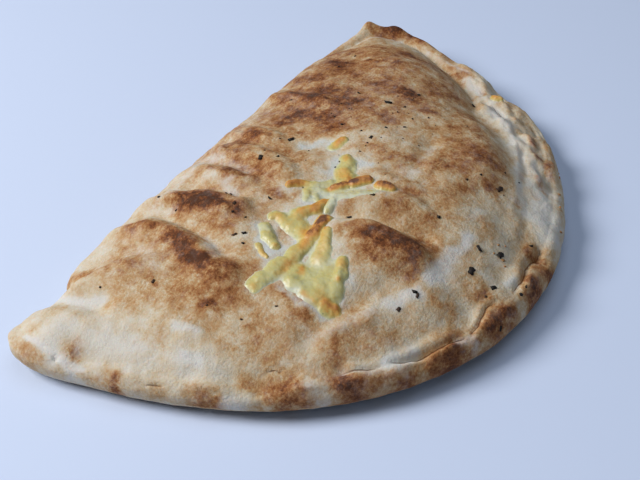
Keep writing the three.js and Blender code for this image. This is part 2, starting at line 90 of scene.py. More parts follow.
def ease(value: Array) -> Array:
    """Returns an ease from 0 to 1: three times the square less twice the cube."""
    held = clamp01(value)
    return held * held * (3.0 - 2.0 * held)


def bell(distance: Array, width: Array) -> Array:
    """Returns a bell curve: e to the power of minus the square of distance over width."""
    return np.exp(-((distance / width) ** 2))


def smooth_max(first: Array, second: Array, radius: Array) -> Array:
    """Returns the higher of two surfaces, joined by a fillet of that radius."""
    share = clamp01(0.5 + 0.5 * (first - second) / radius)
    return mix(second, first, share) + radius * share * (1.0 - share)


def on_floor(places: Array) -> Array:
    """Returns places with a height of nought added to their x and y."""
    return np.column_stack([places[:, :2], np.zeros(len(places))])


def spline(rows: list[Array], share: Array) -> Array:
    """Runs a curve through rows of numbers.

    Formula: a uniform Catmull-Rom spline, where each stretch is the cubic that leaves one row and
    reaches the next with half the step between their neighbours as its slopes.

    Args:
        rows: The rows before, at the start, at the end of and after each stretch, as four arrays.
        share: Share of the stretch gone by, one row each.

    Returns:
        One row of numbers for each share.
    """
    p0, p1, p2, p3 = rows
    cubic = 3.0 * p1 - p0 - 3.0 * p2 + p3
    square = 2.0 * p0 - 5.0 * p1 + 4.0 * p2 - p3
    return 0.5 * (2.0 * p1 + (p2 - p0) * share + square * share**2 + cubic * share**3)


class GrainField:
    """Smooth random waves in space, the same on every run.

    Formula: every corner of a cubic lattice has a random height, and a point takes the heights of its
    cell's eight corners, blended by a fifth-power ease along each axis.
    """

    SIZE = 256
    TURN = np.array([[0.36, 0.48, -0.80], [-0.80, 0.60, 0.0], [0.48, 0.64, 0.60]])
    SHIFT = 31.7
    LAYERED_PEAK = 1.3

    def __init__(self, seed: int) -> None:
        """Draws the lattice.

        Args:
            seed: Number that fixes the draw.
        """
        draw = np.random.default_rng(seed)
        self._order = draw.permutation(self.SIZE)
        self._heights = draw.uniform(-1.0, 1.0, self.SIZE)

    def _corner(self, cells: Array) -> Array:
        """Returns the random heights of lattice corners.

        Args:
            cells: Whole-number places, one row a corner.
        """
        index = np.zeros(len(cells), int)
        for axis in range(3):
            index = self._order[(index + cells[:, axis]) % self.SIZE]
        return self._heights[index]

    def sample(self, points: Array, cell: float) -> Array:
        """Works out one layer of waves.

        Args:
            points: Places in mm, one a row.
            cell: Width of a lattice cell in mm.

        Returns:
            A height from -1 to 1 for each point.
        """
        scaled = points / cell
        base = np.floor(scaled).astype(int)
        part = scaled - base
        eased = part**3 * (part * (part * 6.0 - 15.0) + 10.0)
        total = np.zeros(len(points))
        for corner in np.ndindex(2, 2, 2):
            share = np.prod(np.where(corner, eased, 1.0 - eased), axis=1)
            total += share * self._corner(base + np.array(corner))
        return total

    def layered(self, points: Array, cell: float, layers: int = 3, shift: float = 0.0) -> Array:
        """Adds up ever finer layers, each turned, half as wide and half as high as the one before.

        Args:
            points: Places in mm, one a row.
            cell: Width of the widest layer's cell in mm.
            layers: Number of layers.
            shift: How far off the waves are read, in mm, so that no two uses are alike.

        Returns:
            A height of about -1 to 1 for each point.
        """
        total = np.zeros(len(points))
        turned = points + shift
        for layer in range(layers):
            total += self.sample(turned + self.SHIFT * layer, cell / 2**layer) / 2**layer
            turned = turned @ self.TURN
        return total / self.LAYERED_PEAK

    def pushed(self, points: Array, cell: float, layers: int, far: float, shifts: Pair) -> Array:
        """Pushes places about at random, so that no mark looks drawn.

        Args:
            points: Places in mm, one a row.
            cell: Width of the widest wave in mm.
            layers: Number of layers of waves.
            far: How far a place may go in mm.
            shifts: Where the waves along x and the waves along y are read, in mm.

        Returns:
            The x and y of each place, moved.
        """
        waves = [self.layered(points, cell, layers, shift) * far for shift in shifts]
        return points[:, :2] + np.column_stack(waves)


# --- marks on the dough


@dataclass(frozen=True)
class Stroke:
    """A line of marks on the dough, by the corners of its path in mm."""

    path: Path

    def measure(self, places: Array, margin: float) -> tuple[Array, ...]:
        """Measures places against the path.

        Formula: the distance to a polyline is the least of the distances to its pieces. The offset is
        how far left of the nearest piece's line the place lies, so it also passes through nought
        beyond the path's ends.

        Args:
            places: Places in mm, one a row.
            margin: Places further from the path's box than this are left out.

        Returns:
            The numbers of the rows that are near, their distance, their offset to the path's left, and
            how far along the path they lie, from 0 to 1.
        """
        corners = np.array(self.path, float)
        low, high = corners.min(0) - margin, corners.max(0) + margin
        near = np.nonzero(np.all((places > low) & (places < high), axis=1))[0]
        best, left, along = (np.full(len(near), value) for value in (np.inf, 0.0, 0.0))
        if len(corners) == 1:
            return near, np.hypot(*(places[near] - corners[0]).T), left, np.full(len(near), 0.5)
        for number, (start, end) in enumerate(zip(corners[:-1], corners[1:])):
            step = end - start
            gap = places[near] - start
            share = clamp01(gap @ step / (step @ step))
            distance = np.hypot(*(gap - share[:, None] * step).T)
            offset = (step[0] * gap[:, 1] - step[1] * gap[:, 0]) / np.hypot(*step)
            closer = distance < best
            best = np.where(closer, distance, best)
            left = np.where(closer, offset, left)
            along = np.where(closer, (number + share) / (len(corners) - 1), along)
        return near, best, left, along


@dataclass(frozen=True)
class Fold:
    """A ridge that the dough puffed up into, or a crease, which has a negative rise. In mm."""

    start: Pair
    end: Pair
    bow: float
    width: float
    rise: float

    STEEP_SIDE = 0.6
    GENTLE_SIDE = 1.3
    TURNOVER = 0.7
    REACH = 4.0
    STEPS = 8

    def stroke(self) -> Stroke:
        """Works out the fold's path: the straight run pushed sideways by four times bow times t(1-t).

        Returns:
            The path, as a stroke.
        """
        start, end = np.array(self.start), np.array(self.end)
        share = np.linspace(0.0, 1.0, self.STEPS + 1)[:, None]
        across = np.array([start[1] - end[1], end[0] - start[0]]) / np.hypot(*(end - start))
        points = mix(start, end, share) + across * 4.0 * self.bow * share * (1.0 - share)
        return Stroke(tuple(map(tuple, points)))

    def lift(self, places: Array) -> Array:
        """Works out the fold's height: a bell across its path, steeper on a ridge's left side.

        Args:
            places: Places in mm, one a row.

        Returns:
            A height in mm for each place.
        """
        height = np.zeros(len(places))
        near, distance, left, _ = self.stroke().measure(places, self.REACH * self.width)
        leftness = ease(0.5 + self.TURNOVER * left / self.width)
        share = mix(self.GENTLE_SIDE, self.STEEP_SIDE, leftness) if self.rise > 0 else 1.0
        height[near] = self.rise * bell(distance, self.width * share)
        return height


@dataclass(frozen=True)
class Crack:
    """A narrow slit with a slightly raised shoulder on either side. In mm."""

    depth: float
    width: float
    path: Path

    SHOULDER = 0.35
    SHOULDER_AT = 2.4
    SHOULDER_WIDTH = 1.4
    MARGIN = 6.0
    REACH = 5.0
    FAINTEST = 0.6
    BOLDER_BY_DEPTH = 0.22
    LOSS_AT_ENDS = 0.35
    TINY = 1e-6

    def _fade(self, along: Array) -> Array:
        """Returns how full the slit is: the square root of the sine of pi times the share along."""
        return np.sqrt(np.sin(np.pi * clamp01(along)) + self.TINY)

    def lift(self, places: Array) -> Array:
        """Works out the slit's height: a deep narrow bell less a low wide one to either side.

        Args:
            places: Places in mm, one a row.

        Returns:
            A height in mm for each place.
        """
        height = np.zeros(len(places))
        near, distance, _, along = Stroke(self.path).measure(places, self.MARGIN * self.width)
        beside = np.abs(distance) - self.SHOULDER_AT * self.width
        shoulder = self.SHOULDER * bell(beside, self.SHOULDER_WIDTH * self.width)
        height[near] = self._fade(along) * self.depth * (shoulder - bell(distance, self.width))
        return height

    def trace(self, places: Array) -> tuple[Array, Array]:
        """Works out how each place lies to the slit, for a painted shadow line finer than the mesh.

        Formula: nearness is one less the distance over the reach, less towards both ends, and less for
        a shallow slit. The side is the offset to the left over the reach, nought in the slit.

        Args:
            places: Places in mm, one a row.

        Returns:
            The nearness, 1 in the slit and 0 at its reach, and the side from -1 to 1.
        """
        level, side = np.zeros(len(places)), np.ones(len(places))
        near, distance, left, along = Stroke(self.path).measure(places, self.REACH)
        loss = self.LOSS_AT_ENDS * (1.0 - self._fade(along))
        strength = min(self.FAINTEST + self.BOLDER_BY_DEPTH * self.depth, 1.0)
        level[near] = strength * clamp01(1.0 - distance / self.REACH - loss)
        side[near] = np.clip(left / self.REACH, -1.0, 1.0)
        return level, side


@dataclass(frozen=True)
class Blister:
    """A round bump, or a pinch with a negative rise. In mm."""

    at: Pair
    radius: float
    rise: float

    def lift(self, places: Array) -> Array:
        """Returns the bump's height, a bell round its middle, for each place in mm."""
        return self.rise * bell(np.hypot(*(places - np.array(self.at)).T), self.radius)


@dataclass(frozen=True)
class Patch:
    """A stretch of colour: how strong it is, and its half-width and path in mm."""

    strength: float
    radius: float
    path: Path

    REACH = 2.6
    RAGGEDNESS = 0.5
    EDGE_POWER = 2.2

    def cover(self, places: Array, ragged: Array) -> Array:
        """Works out how much of the patch there is at each place.

        Formula: a bell of the distance over the radius, where the share is first made larger or smaller
        by a random amount.

        Args:
            places: Places in mm, one a row.
            ragged: Random share for each place, about -1 to 1.

        Returns:
            The cover for each place, from 0 to the patch's strength.
        """
        cover = np.zeros(len(places))
        near, distance, *_ = Stroke(self.path).measure(places, self.REACH * self.radius)
        share = np.maximum(distance / self.radius + self.RAGGEDNESS * ragged[near], 0.0)
        cover[near] = self.strength * np.exp(-(share**self.EDGE_POWER))
        return cover


def paired(numbers: tuple[float, ...]) -> Path:
    """Returns a path from its x and y numbers in turn."""
    return tuple(zip(numbers[0::2], numbers[1::2]))


def patches(*rows: tuple[float, ...]) -> tuple[Patch, ...]:
    """Makes patches from rows of strength, radius and the path's x and y in turn."""
    return tuple(Patch(*row[:2], paired(row[2:])) for row in rows)


def folds(*rows: tuple[float, ...]) -> tuple[Fold, ...]:
    """Makes folds from rows of a start's x and y, an end's x and y, a bow, a width and a rise."""
    return tuple(Fold(row[0:2], row[2:4], *row[4:]) for row in rows)


def blisters(*rows: tuple[float, ...]) -> tuple[Blister, ...]:
    """Makes blisters from rows of x, y, radius and rise."""
    return tuple(Blister(row[0:2], *row[2:]) for row in rows)


def cracks(*rows: tuple[float, ...]) -> tuple[Crack, ...]:
    """Makes slits from rows of depth, width and the path's x and y in turn."""
    return tuple(Crack(*row[:2], paired(row[2:])) for row in rows)


def covered(coats: tuple[Patch, ...], places: Array, ragged: Array) -> Array:
    """Adds patches up as layers of paint do: one less the product of what each leaves bare.

    Args:
        coats: The patches.
        places: Places in mm, one a row.
        ragged: Random share for each place that makes the edges uneven.

    Returns:
        The cover for each place, from 0 to 1.
    """
    bare = np.ones(len(places))
    for patch in coats:
        bare *= 1.0 - patch.cover(places, ragged)
    return 1.0 - bare


# --- the dough's form


@dataclass(frozen=True)
class Rim:
    """The rim at a number of places, one row or number for each, in mm."""

    places: Array
    lip: Array
    lip_height: Array
    groove: Array
    edge_height: Array
    foot: Array
    reach: Array
    lip_share: Array
    dome_foot: Array


@dataclass
class DoughForm:
    """The dough's outline and upper surface as formulas, in mm."""

    # Going round from the beak: place on the outline, the lip's width and height, how deep the seam
    # lies below the lip, the height of the widest place, and how far the underside curls in.
    STATIONS = (
        (-154, 67, 9, 18, 0.8, 11, 13),
        (-148, 37, 10, 18, 1.2, 10, 13),
        (-138, 3, 10, 18, 1.2, 10, 13),
        (-119, -35, 11, 18, 1.5, 10, 17),
        (-88, -67, 12, 19, 2.0, 10, 18),
        (-47, -88, 13, 19, 2.5, 10, 18),
        (-4, -93, 14, 19, 3.0, 10, 17),
        (40, -84, 15, 19, 3.5, 9, 14),
        (80, -64, 18, 18, 4.0, 8, 9),
        (112, -39, 24, 17, 4.0, 8, 9),
        (132, -8, 26, 17, 3.5, 8, 9),
        (146, 24, 19, 18, 3.5, 9, 10),
        (154, 58, 11, 19, 3.5, 10, 12),
        (151, 84, 15, 25, 4.5, 12, 15),
        (132, 89, 10, 22, 3.0, 13, 14),
        (104, 94, 2, 16, 0.2, 14, 14),
        (66, 91, 0, 14, 0, 14, 14),
        (18, 89, 0, 14, 0, 14, 14),
        (-30, 87, 0, 14, 0, 14, 14),
        (-75, 86, 0, 14, 0, 14, 14),
        (-107, 84, 0, 13, 0, 13, 13),
        (-120, 75, 0, 10, 0, 10, 12),
        (-134, 81, 2, 13, 0.2, 11, 12),
        (-147, 82, 5, 15, 0.4, 11, 14),
    )
    RIDGES = folds(
        (-54, 68, -50, 32, 2, 8, 3.6), (-28, 67, -32, 42, 1, 6, 2.4), (-11, 70, -19, 28, 2, 8, 3),
        (10, 80, 4, 52, 0, 7, 2.4), (45, 82, 45, 52, -1, 8, 2.6), (-75, 63, -84, 14, 2, 9, 3.2),
        (-42, -14, -37, -52, 3, 10, 4.2), (-26, -7, -10, -32, 2, 7, 2.6), (98, 50, 110, 14, 2, 9, 1.6),
        (-74, -48, -86, -38, 0, 6, 1.6), (-114, 70, -103, 60, 0, 10, 2.6), (-99, 55, -95, 48, 0, 8, 1.6),
        (72, -22, 30, -44, 4, 14, 2),
    )
    CREASES = folds(
        (-127, 76, -121, 52, 1, 5, -3.6), (-93, -32, -38, -58, 3, 6, -2.8), (-33, -8, -24, -46, 1, 4.5, -3),
        (7, -14, 7, -28, 0, 5, -1.8), (17, -20, 37, -16, 0, 5, -1.4), (-23, 68, -28, 44, 0, 4.5, -2),
        (-46, 62, -45, 38, 0, 5, -2.4), (-69, 64, -78, 20, 2, 5, -2.4), (5, 30, 9, 23, 0, 7, -2.2),
        (-52, 20, -58, 4, 0, 9, -1.6), (-12, 4, -66, -16, 0, 13, -2), (110, -8, 100, -24, 0, 5, -1.6),
    )
    CRIMPS = blisters(
        (-149, 62, 9, 1.4), (-145, 44, 6, -1.2), (-140, 22, 9, 1.4), (-131, -10, 8, 2), (-120, -28, 5, -1.2),
        (-110, -43, 8, 2.2), (-96, -57, 8, 2), (-82, -66, 7, 1.4), (-72, -75, 5, -1.6), (-60, -79, 8, 2),
        (-38, -86, 7, 2.4), (-24, -87, 7, 1.8), (-6, -88, 8, 2.4), (12, -84, 5, -2.4), (28, -80, 8, 1.8),
        (48, -73, 8, 2), (66, -66, 5, -1.6), (78, -58, 8, 2), (93, -50, 8, 2.2), (107, -37, 6, -1.8),
        (118, -24, 9, 2.2), (128, -6, 6, -2), (135, 12, 8, 1.6), (141, 32, 6, -1.8), (148, 52, 8, 1.6),
    )
    # Small forms: the sharp edges of the ridges and of the lip's folds, blisters that stand alone, and
    # the slits of the seam.
    SHARP_FOLDS = folds(
        (-60, 66, -56, 34, 2, 2.6, 1.5), (-34, 60, -34, 43, 0, 2.2, 0.7), (-16, 66, -20, 30, 1, 2.4, 0.9),
        (2, 76, 1, 54, 0, 2.2, 0.8), (44, 76, 42, 44, 0, 2.4, 0.8), (-79, 62, -76, 48, 0, 2.2, 0.7),
        (-79, 46, -88, 16, 1, 3, 1), (-42, -16, -25, -48, 2, 3, 0.8), (-63, 86, -58, 62, 1, 3, 1.3),
        (-82, 84, -78, 62, 1, 3.4, 1.2), (-36, 86, -31, 64, 1, 3, 0.9), (-14, 86, -14, 68, 1, 3, 1),
        (8, 88, 3, 72, 0, 2.6, 0.8), (116, -12, 97, -31, 2, 3, 1.4), (93, -37, 86, -45, 1, 2.4, 1.8),
        (82, -45, 60, -60, 1, 2.6, 1.2), (38, -62, 14, -72, 0, 3.5, 0.8), (113, -20, 92, -34, 0, 2.4, -1.1),
        (78, -43, 62, -53, 0, 2.4, -1.2), (56, -53, 28, -67, 0, 2.8, -0.8), (84, -52, 50, -71, 1, 2.4, -0.8),
        (-117, 17, -113, 4, 0, 1.4, 0.7), (-56, -63, -44, -72, 0, 5, 0.8), (-149, 69, -149, 57, 0, 1.3, -0.7),
    )
    BUMPS = blisters(
        (143, 22, 7, 2), (134, 5, 6, 1.5), (150, 80, 4.5, -3), (142, 86, 4.5, 2.2), (151, 67, 6, 1.6),
        (-2, 81, 6, 1.4), (-60, 77, 6, 1.4), (75, -57, 3, 1.2), (105, -27, 3.2, 1.4), (97, -22, 2.6, 1),
        (82, -41, 2.4, 0.9), (70, -54, 2.6, -1), (98, -38, 2.6, -1.2), (-80, 78, 5, 1.2), (-112, 77, 6, 1.4),
        (20, 80, 6, 1), (48, 82, 7, 1.2), (-30, 78, 5, 0.9), (71, 17, 3.6, 1.3), (-145, 49, 3.4, 1),
        (-145, 26, 2.6, 0.9), (94, -43, 3.4, 2), (62, -61, 3, 1.5), (127, 3, 3.2, 1.4), (114, -24, 3.6, 1),
        (13, -80, 4, 1.2), (-58, 37, 4, 0.8), (-95, -50, 3, -1.8), (-149, 53, 1.3, -1.6),
        (90, -46, 1.5, -1.8), (17, -82, 1.5, -2), (-104, 8, 4, 0.6), (-29, -76, 6, 0.9), (148, 70, 4, 1.2),
    )
    CRACKS = cracks(
        (0.7, 0.7, -141, 15, -139, 10, -137, 6), (0.8, 0.8, -113, -25, -110, -28, -107, -32),
        (0.9, 0.8, -96, -50, -93, -54, -89, -58, -84, -63),
        (2, 1.2, -81, -64, -76, -68, -71, -71, -64, -75, -59, -78, -51, -82),
        (1, 0.9, -49, -83, -45, -83, -38, -83, -33, -82, -26, -84),
        (1.6, 1.2, -16, -86, -10, -86, -4, -85, 6, -82, 13, -83, 19, -82),
        (1, 1.2, 112, -9, 107, -16, 103, -22), (0.6, 0.7, -126, 6, -124, 3, -123, -1),
        (0.9, 1, 144, 63, 141, 50, 138, 32),
    )

    # Waves over the whole dome: height, turn a mm along x and along y, and start.
    SWELLS = ((0.55, 0.052, 0.037, 0.6), (0.45, -0.041, 0.083, 2.1), (0.3, 0.127, -0.069, 4.4))

    crown_height: float = 42.0
    beak_drop: float = 7.0
    beak_from: float = -30.0
    beak_run: float = 120.0
    beak_power: float = 1.3
    ear_drop: float = 3.0
    ear_from: float = 60.0
    ear_run: float = 90.0
    dome_power: float = 2.5
    fold_roundness: float = 1.9
    belly_roundness: float = 1.35
    seam_blend: float = 2.0
    apron_blend: float = 3.0
    least_blend: float = 0.05
    shoulder_drop: float = 2.5
    shoulder_at: float = 6.5
    rake: float = 0.46
    apron_reach: float = 18.0
    apron_lip: float = 9.0  # a lip this broad lies flat along the belly
    roll_from: float = 12.0
    roll_run: float = 24.0
    crumple: float = 1.2
    crumple_cell: float = 5.5
    crumple_stretch: float = 2.0
    crumple_drift: float = 0.3
    crumple_edge: float = 6.0
    crumple_fade: float = 2.0
    broad_from: float = 14.0
    broad_run: float = 5.0
    full_lip: float = 12.0
    least_lip: float = 0.01
    lip_undercut: float = 1.2
    swell: float = 0.75
    swell_cell: float = 19.0
    skin: float = 0.30
    skin_cell: float = 5.0
    relief_fade: float = 12.0
    mark_fade: float = 3.0
    centre: Pair = (0.0, -6.0)
    outline_steps: int = 4000
    angle_steps: int = 3600
    calm_directions: int = 360
    calm_sweep: int = 18
    calm_power: int = 7
    seed: int = 7

    def __post_init__(self) -> None:
        """Measures the outline once, so that the rim can be looked up by share and by direction."""
        self.grain = GrainField(self.seed)
        self._fine = np.arange(self.outline_steps + 1) / self.outline_steps
        outline = self._through_stations(self._fine)[:, :2]
        lengths = np.hypot(*np.diff(outline, axis=0).T)
        self._arc = np.concatenate([[0.0], np.cumsum(lengths)])
        self._angle_shares = np.arange(self.angle_steps + 1) / self.angle_steps
        angles, _ = self._from_centre(self.rim_at(self._angle_shares).places)
        self._angles = np.maximum.accumulate(np.unwrap(angles))
        self._measure_calm_rim()

    def _from_centre(self, places: Array) -> tuple[Array, Array]:
        """Returns the direction and the distance of each place, seen from the centre."""
        x, y = (places - np.array(self.centre)).T
        return np.arctan2(y, x), np.hypot(x, y)

    def _through_stations(self, t: Array) -> Array:
        """Runs a closed spline through the stations' numbers.

        Args:
            t: Shares of the stations gone by, from 0 to 1.

        Returns:
            One row of station numbers for each share.
        """
        table = np.array(self.STATIONS, float)
        count = len(table)
        place = (t % 1.0) * count
        first = np.floor(place).astype(int)
        rows = [table[(first + shift) % count] for shift in (-1, 0, 1, 2)]
        return spline(rows, (place - first)[:, None])

    def rim_at(self, share: Array) -> Rim:
        """Looks the rim up.

        Args:
            share: Shares of the way round, measured along the rim.

        Returns:
            The rim at those places.
        """
        t = np.interp(np.asarray(share) % 1.0 * self._arc[-1], self._arc, self._fine)
        rows = self._through_stations(t)
        places, (lip, lip_height, seam, edge_height, foot) = rows[:, :2], rows[:, 2:].T
        groove = np.maximum(seam, 0.0)
        lip_height = np.maximum(lip_height, edge_height)
        return Rim(
            places=places,
            lip=np.maximum(lip, self.least_lip),
            lip_height=lip_height,
            groove=groove,
            edge_height=edge_height,
            foot=foot,
            reach=self._from_centre(places)[1],
            lip_share=clamp01(lip / self.full_lip),
            dome_foot=lip_height - groove,
        )

    def rim_towards(self, places: Array) -> Rim:
        """Returns the rim beyond each place, seen from the centre."""
        angle, _ = self._from_centre(places)
        turns = (angle - self._angles[0]) % (2.0 * np.pi) + self._angles[0]
        return self.rim_at(np.interp(turns, self._angles, self._angle_shares))

    def _measure_calm_rim(self) -> None:
        """Takes the rim's running mean over a broad sweep of directions, for the middle of the dome."""
        angle = 2.0 * np.pi * np.arange(self.calm_directions) / self.calm_directions
        rim = self.rim_towards(self.centre + np.column_stack([np.cos(angle), np.sin(angle)]))
        sweep = range(-self.calm_sweep, self.calm_sweep + 1)
        self._calm = {
            key: np.mean([np.roll(getattr(rim, key), shift) for shift in sweep], axis=0)
            for key in ("reach", "lip_share", "dome_foot")
        }

    def _calm_towards(self, places: Array, key: str) -> Array:
        """Returns one of the calm rim's sizes in the direction of each place."""
        turn = self._from_centre(places)[0] / (2.0 * np.pi) * self.calm_directions
        steps = np.arange(self.calm_directions)
        return np.interp(turn, steps, self._calm[key], period=self.calm_directions)

    def _crown(self, x: Array) -> Array:
        """Returns the crown's height: level in the middle, lower towards the beak and the ear."""
        beakward = clamp01((self.beak_from - x) / self.beak_run) ** self.beak_power
        earward = clamp01((x - self.ear_from) / self.ear_run)
        return self.crown_height - self.beak_drop * beakward - self.ear_drop * earward

    def _dome(self, rim: Rim, s: Array, places: Array) -> Array:
        """Works out the dome's height.

        Formula: a superellipse from the crown down to the seam. Near the rim the share across is
        measured on the true outline, and towards the centre on the calm one.

        Args:
            rim: The rim beyond each place.
            s: Share of the way from the centre to the rim.
            places: The places.

        Returns:
            The height of each place.
        """
        reach = self._calm_towards(places, "reach")
        seam_at = 1.0 - rim.lip / rim.reach

        def calm_share(share: Array) -> Array:
            """Returns the share as it is on a rim whose bends fade away towards the centre."""
            return share * rim.reach / mix(reach, rim.reach, share**self.calm_power)

        across = calm_share(s) / calm_share(seam_at)
        calm_foot = self._calm_towards(places, "dome_foot")
        foot = mix(calm_foot, rim.dome_foot, clamp01(across) ** self.calm_power)
        fullest = self._calm_towards(places, "lip_share")
        roundness = mix(self.fold_roundness, self.belly_roundness, fullest)
        fullness = clamp01(1.0 - clamp01(across) ** self.dome_power) ** (1.0 / roundness)
        undercut = self.lip_undercut * np.maximum(across - 1.0, 0.0) * rim.reach
        return mix(foot, self._crown(places[:, 0]), fullness) - undercut

    def _lip(self, rim: Rim, over: Array) -> Array:
        """Works out the rolled lip's height.

        Formula: a hollow slope up from the seam, then a round edge down.

        Args:
            rim: The rim beyond each place.
            over: Share of the way from the seam to the rim.

        Returns:
            The height of each place.
        """
        slope = rim.lip_height - rim.groove * (1.0 - np.maximum(2.0 * over, -9.0)) ** 2
        roundel = np.sqrt(np.maximum(1.0 - (2.0 * over - 1.0) ** 2, 0.0))
        return np.where(over < 0.5, slope, mix(rim.edge_height, rim.lip_height, roundel))

    def _apron(self, rim: Rim, inside: Array) -> Array:
        """Works out the belly's flattened lip.

        Formula: a quarter round up from the rim to the shoulder, where the seam is, then a straight
        rise inwards until it lies well under the dome.

        Args:
            rim: The rim beyond each place.
            inside: How far each place lies inside the outline.

        Returns:
            The height of each place.
        """
        shoulder = rim.lip_height - self.shoulder_drop
        round_share = clamp01(1.0 - inside / self.shoulder_at)
        rounded = mix(rim.edge_height, shoulder, np.sqrt(1.0 - round_share**2))
        return rounded + self.rake * np.clip(inside - self.shoulder_at, 0.0, self.apron_reach)

    def _flattened(self, rim: Rim) -> Array:
        """Returns how flat the lip lies: 1 along the belly, 0 on the roll below the ear."""
        x, y = rim.places.T
        belly = np.where(x < 0.0, 1.0, ease((self.roll_from - y) / self.roll_run))
        return belly * ease(rim.lip / self.apron_lip)

    def _crumple(self, rim: Rim, places: Array, inside: Array) -> Array:
        """Works out the pinched folds that run along a broad lip.

        Formula: waves that are long along the rim and short across it.

        Args:
            rim: The rim beyond each place.
            places: The places.
            inside: How far each place lies inside the outline.

        Returns:
            A height in mm for each place.
        """
        along = self._from_centre(places)[0] * rim.reach / self.crumple_stretch
        drawn_out = np.column_stack([along, inside, self.crumple_drift * places[:, 0]])
        waves = self.grain.layered(drawn_out, self.crumple_cell)
        broad = ease((rim.lip - self.broad_from) / self.broad_run)
        return self.crumple * waves * broad * ease((rim.lip - inside) / self.crumple_edge + 1.0)

    def wandered(self, flat: Array) -> Array:
        """Returns places in mm pushed about by a slow random wander."""
        return self.grain.pushed(flat, 16.0, 3, 1.6, (0.0, 57.0))

    def traced(self, flat: Array) -> Array:
        """Returns places in mm pushed about a little, so that no slit runs straight."""
        return self.grain.pushed(flat, 4.0, 2, 0.6, (19.0, 43.0))

    def slits(self, points: Array) -> tuple[Array, Array]:
        """Finds the nearest slit.

        Args:
            points: Places in mm, one a row.

        Returns:
            The nearness to that slit and the side of it, as Crack.trace gives them.
        """
        places = self.traced(on_floor(points))
        nearness, side = np.zeros(len(points)), np.ones(len(points))
        for crack in self.CRACKS:
            level, offset = crack.trace(places)
            nearness, side = np.where(level > nearness, (level, offset), (nearness, side))
        return nearness, side

    def folded(self, places: Array) -> Array:
        """Returns the height of all ridges and creases together at places in mm."""
        return sum(fold.lift(places) for fold in self.RIDGES + self.CREASES)

    def _relief(self, places: Array, inside: Array) -> Array:
        """Works out folds, blisters, slits and waves.

        Args:
            places: The places.
            inside: How far each place lies inside the outline.

        Returns:
            A height in mm for each place.
        """
        x, y = places.T
        flat = on_floor(places)
        wandered, traced = self.wandered(flat), self.traced(flat)
        waves = sum(rise * np.sin(along * x + across * y + at) for rise, along, across, at in self.SWELLS)
        broad = self.folded(wandered) + waves + self.swell * self.grain.layered(flat, self.swell_cell, 2)
        fine = sum(mark.lift(wandered) for mark in self.CRIMPS + self.SHARP_FOLDS)
        fine += sum(bump.lift(places) for bump in self.BUMPS)
        fine += sum(crack.lift(traced) for crack in self.CRACKS)
        fine += self.skin * self.grain.layered(flat, self.skin_cell)
        return broad * ease(inside / self.relief_fade) + fine * ease(inside / self.mark_fade)

    def height(self, rim: Rim, s: Array, places: Array) -> Array:
        """Works out the upper surface: dome and lip joined by a fillet, with the relief on top.

        Args:
            rim: The rim beyond each place.
            s: Share of the way from the centre to the rim.
            places: The places.

        Returns:
            The height of each place in mm.
        """
        seam_at = 1.0 - rim.lip / rim.reach
        inside = (1.0 - s) * rim.reach
        flat = self._flattened(rim)
        rolled = self._lip(rim, (s - seam_at) / (1.0 - seam_at))
        lip = mix(rolled, self._apron(rim, inside), flat)
        blend = mix(self.seam_blend * rim.lip_share, self.apron_blend, flat) + self.least_blend
        body = smooth_max(self._dome(rim, s, places), lip, blend)
        crumple = self._crumple(rim, places, inside) * ease(inside / self.crumple_fade)
        return body + self._relief(places, inside) + crumple

    def surface(self, places: Array) -> Array:
        """Returns the height of the upper surface over places in mm, one row a place."""
        rim = self.rim_towards(places)
        return self.height(rim, self._from_centre(places)[1] / rim.reach, places)

    def crumpled(self, places: Array) -> Array:
        """Returns the height of the pinched folds alone over places in mm, one row a place."""
        rim = self.rim_towards(places)
        return self._crumple(rim, places, rim.reach - self._from_centre(places)[1])

    def slope(self, places: Array, step: float = 0.8) -> Array:
        """Works out the surface's upward normals from its rise over a short step either way.

        Args:
            places: Places in mm, one row a place.
            step: Length of the step in mm.

        Returns:
            A unit normal for each place.
        """
        rises = [
            self.surface(places - shift) - self.surface(places + shift)
            for shift in (np.array([step, 0.0]), np.array([0.0, step]))
        ]
        normal = np.column_stack([*rises, np.full(len(places), 2.0 * step)])
        return normal / np.linalg.norm(normal, axis=1, keepdims=True)


# --- meshes


def put_mesh(name: str, points: Array, faces: Array) -> Piece:
    """Makes a smooth-shaded object from arrays.

    Args:
        name: The piece's name.
        points: Corners in mm, one row each.
        faces: Triangles as rows of corner numbers.

    Returns:
        The new object, at the origin.
    """
    mesh = bpy.data.meshes.new(name)
    mesh.vertices.add(len(points))
    mesh.vertices.foreach_set("co", (points * MM).astype(np.float32).ravel())
    mesh.loops.add(faces.size)
    mesh.loops.foreach_set("vertex_index", faces.astype(np.int32).ravel())
    mesh.polygons.add(len(faces))
    mesh.polygons.foreach_set("loop_start", np.arange(0, faces.size, 3, dtype=np.int32))
    mesh.update(calc_edges=True)
    mesh.validate()
    mesh.shade_smooth()
    piece = bpy.data.objects.new(name, mesh)
    bpy.context.scene.collection.objects.link(piece)
    return piece


def paint(piece: Piece, name: str, levels: Array) -> None:
    """Stores a level from 0 to 1, by its name, at each corner of a piece for its material to read."""
    attribute = piece.data.attributes.new(name, "FLOAT", "POINT")
    attribute.data.foreach_set("value", clamp01(levels).astype(np.float32))


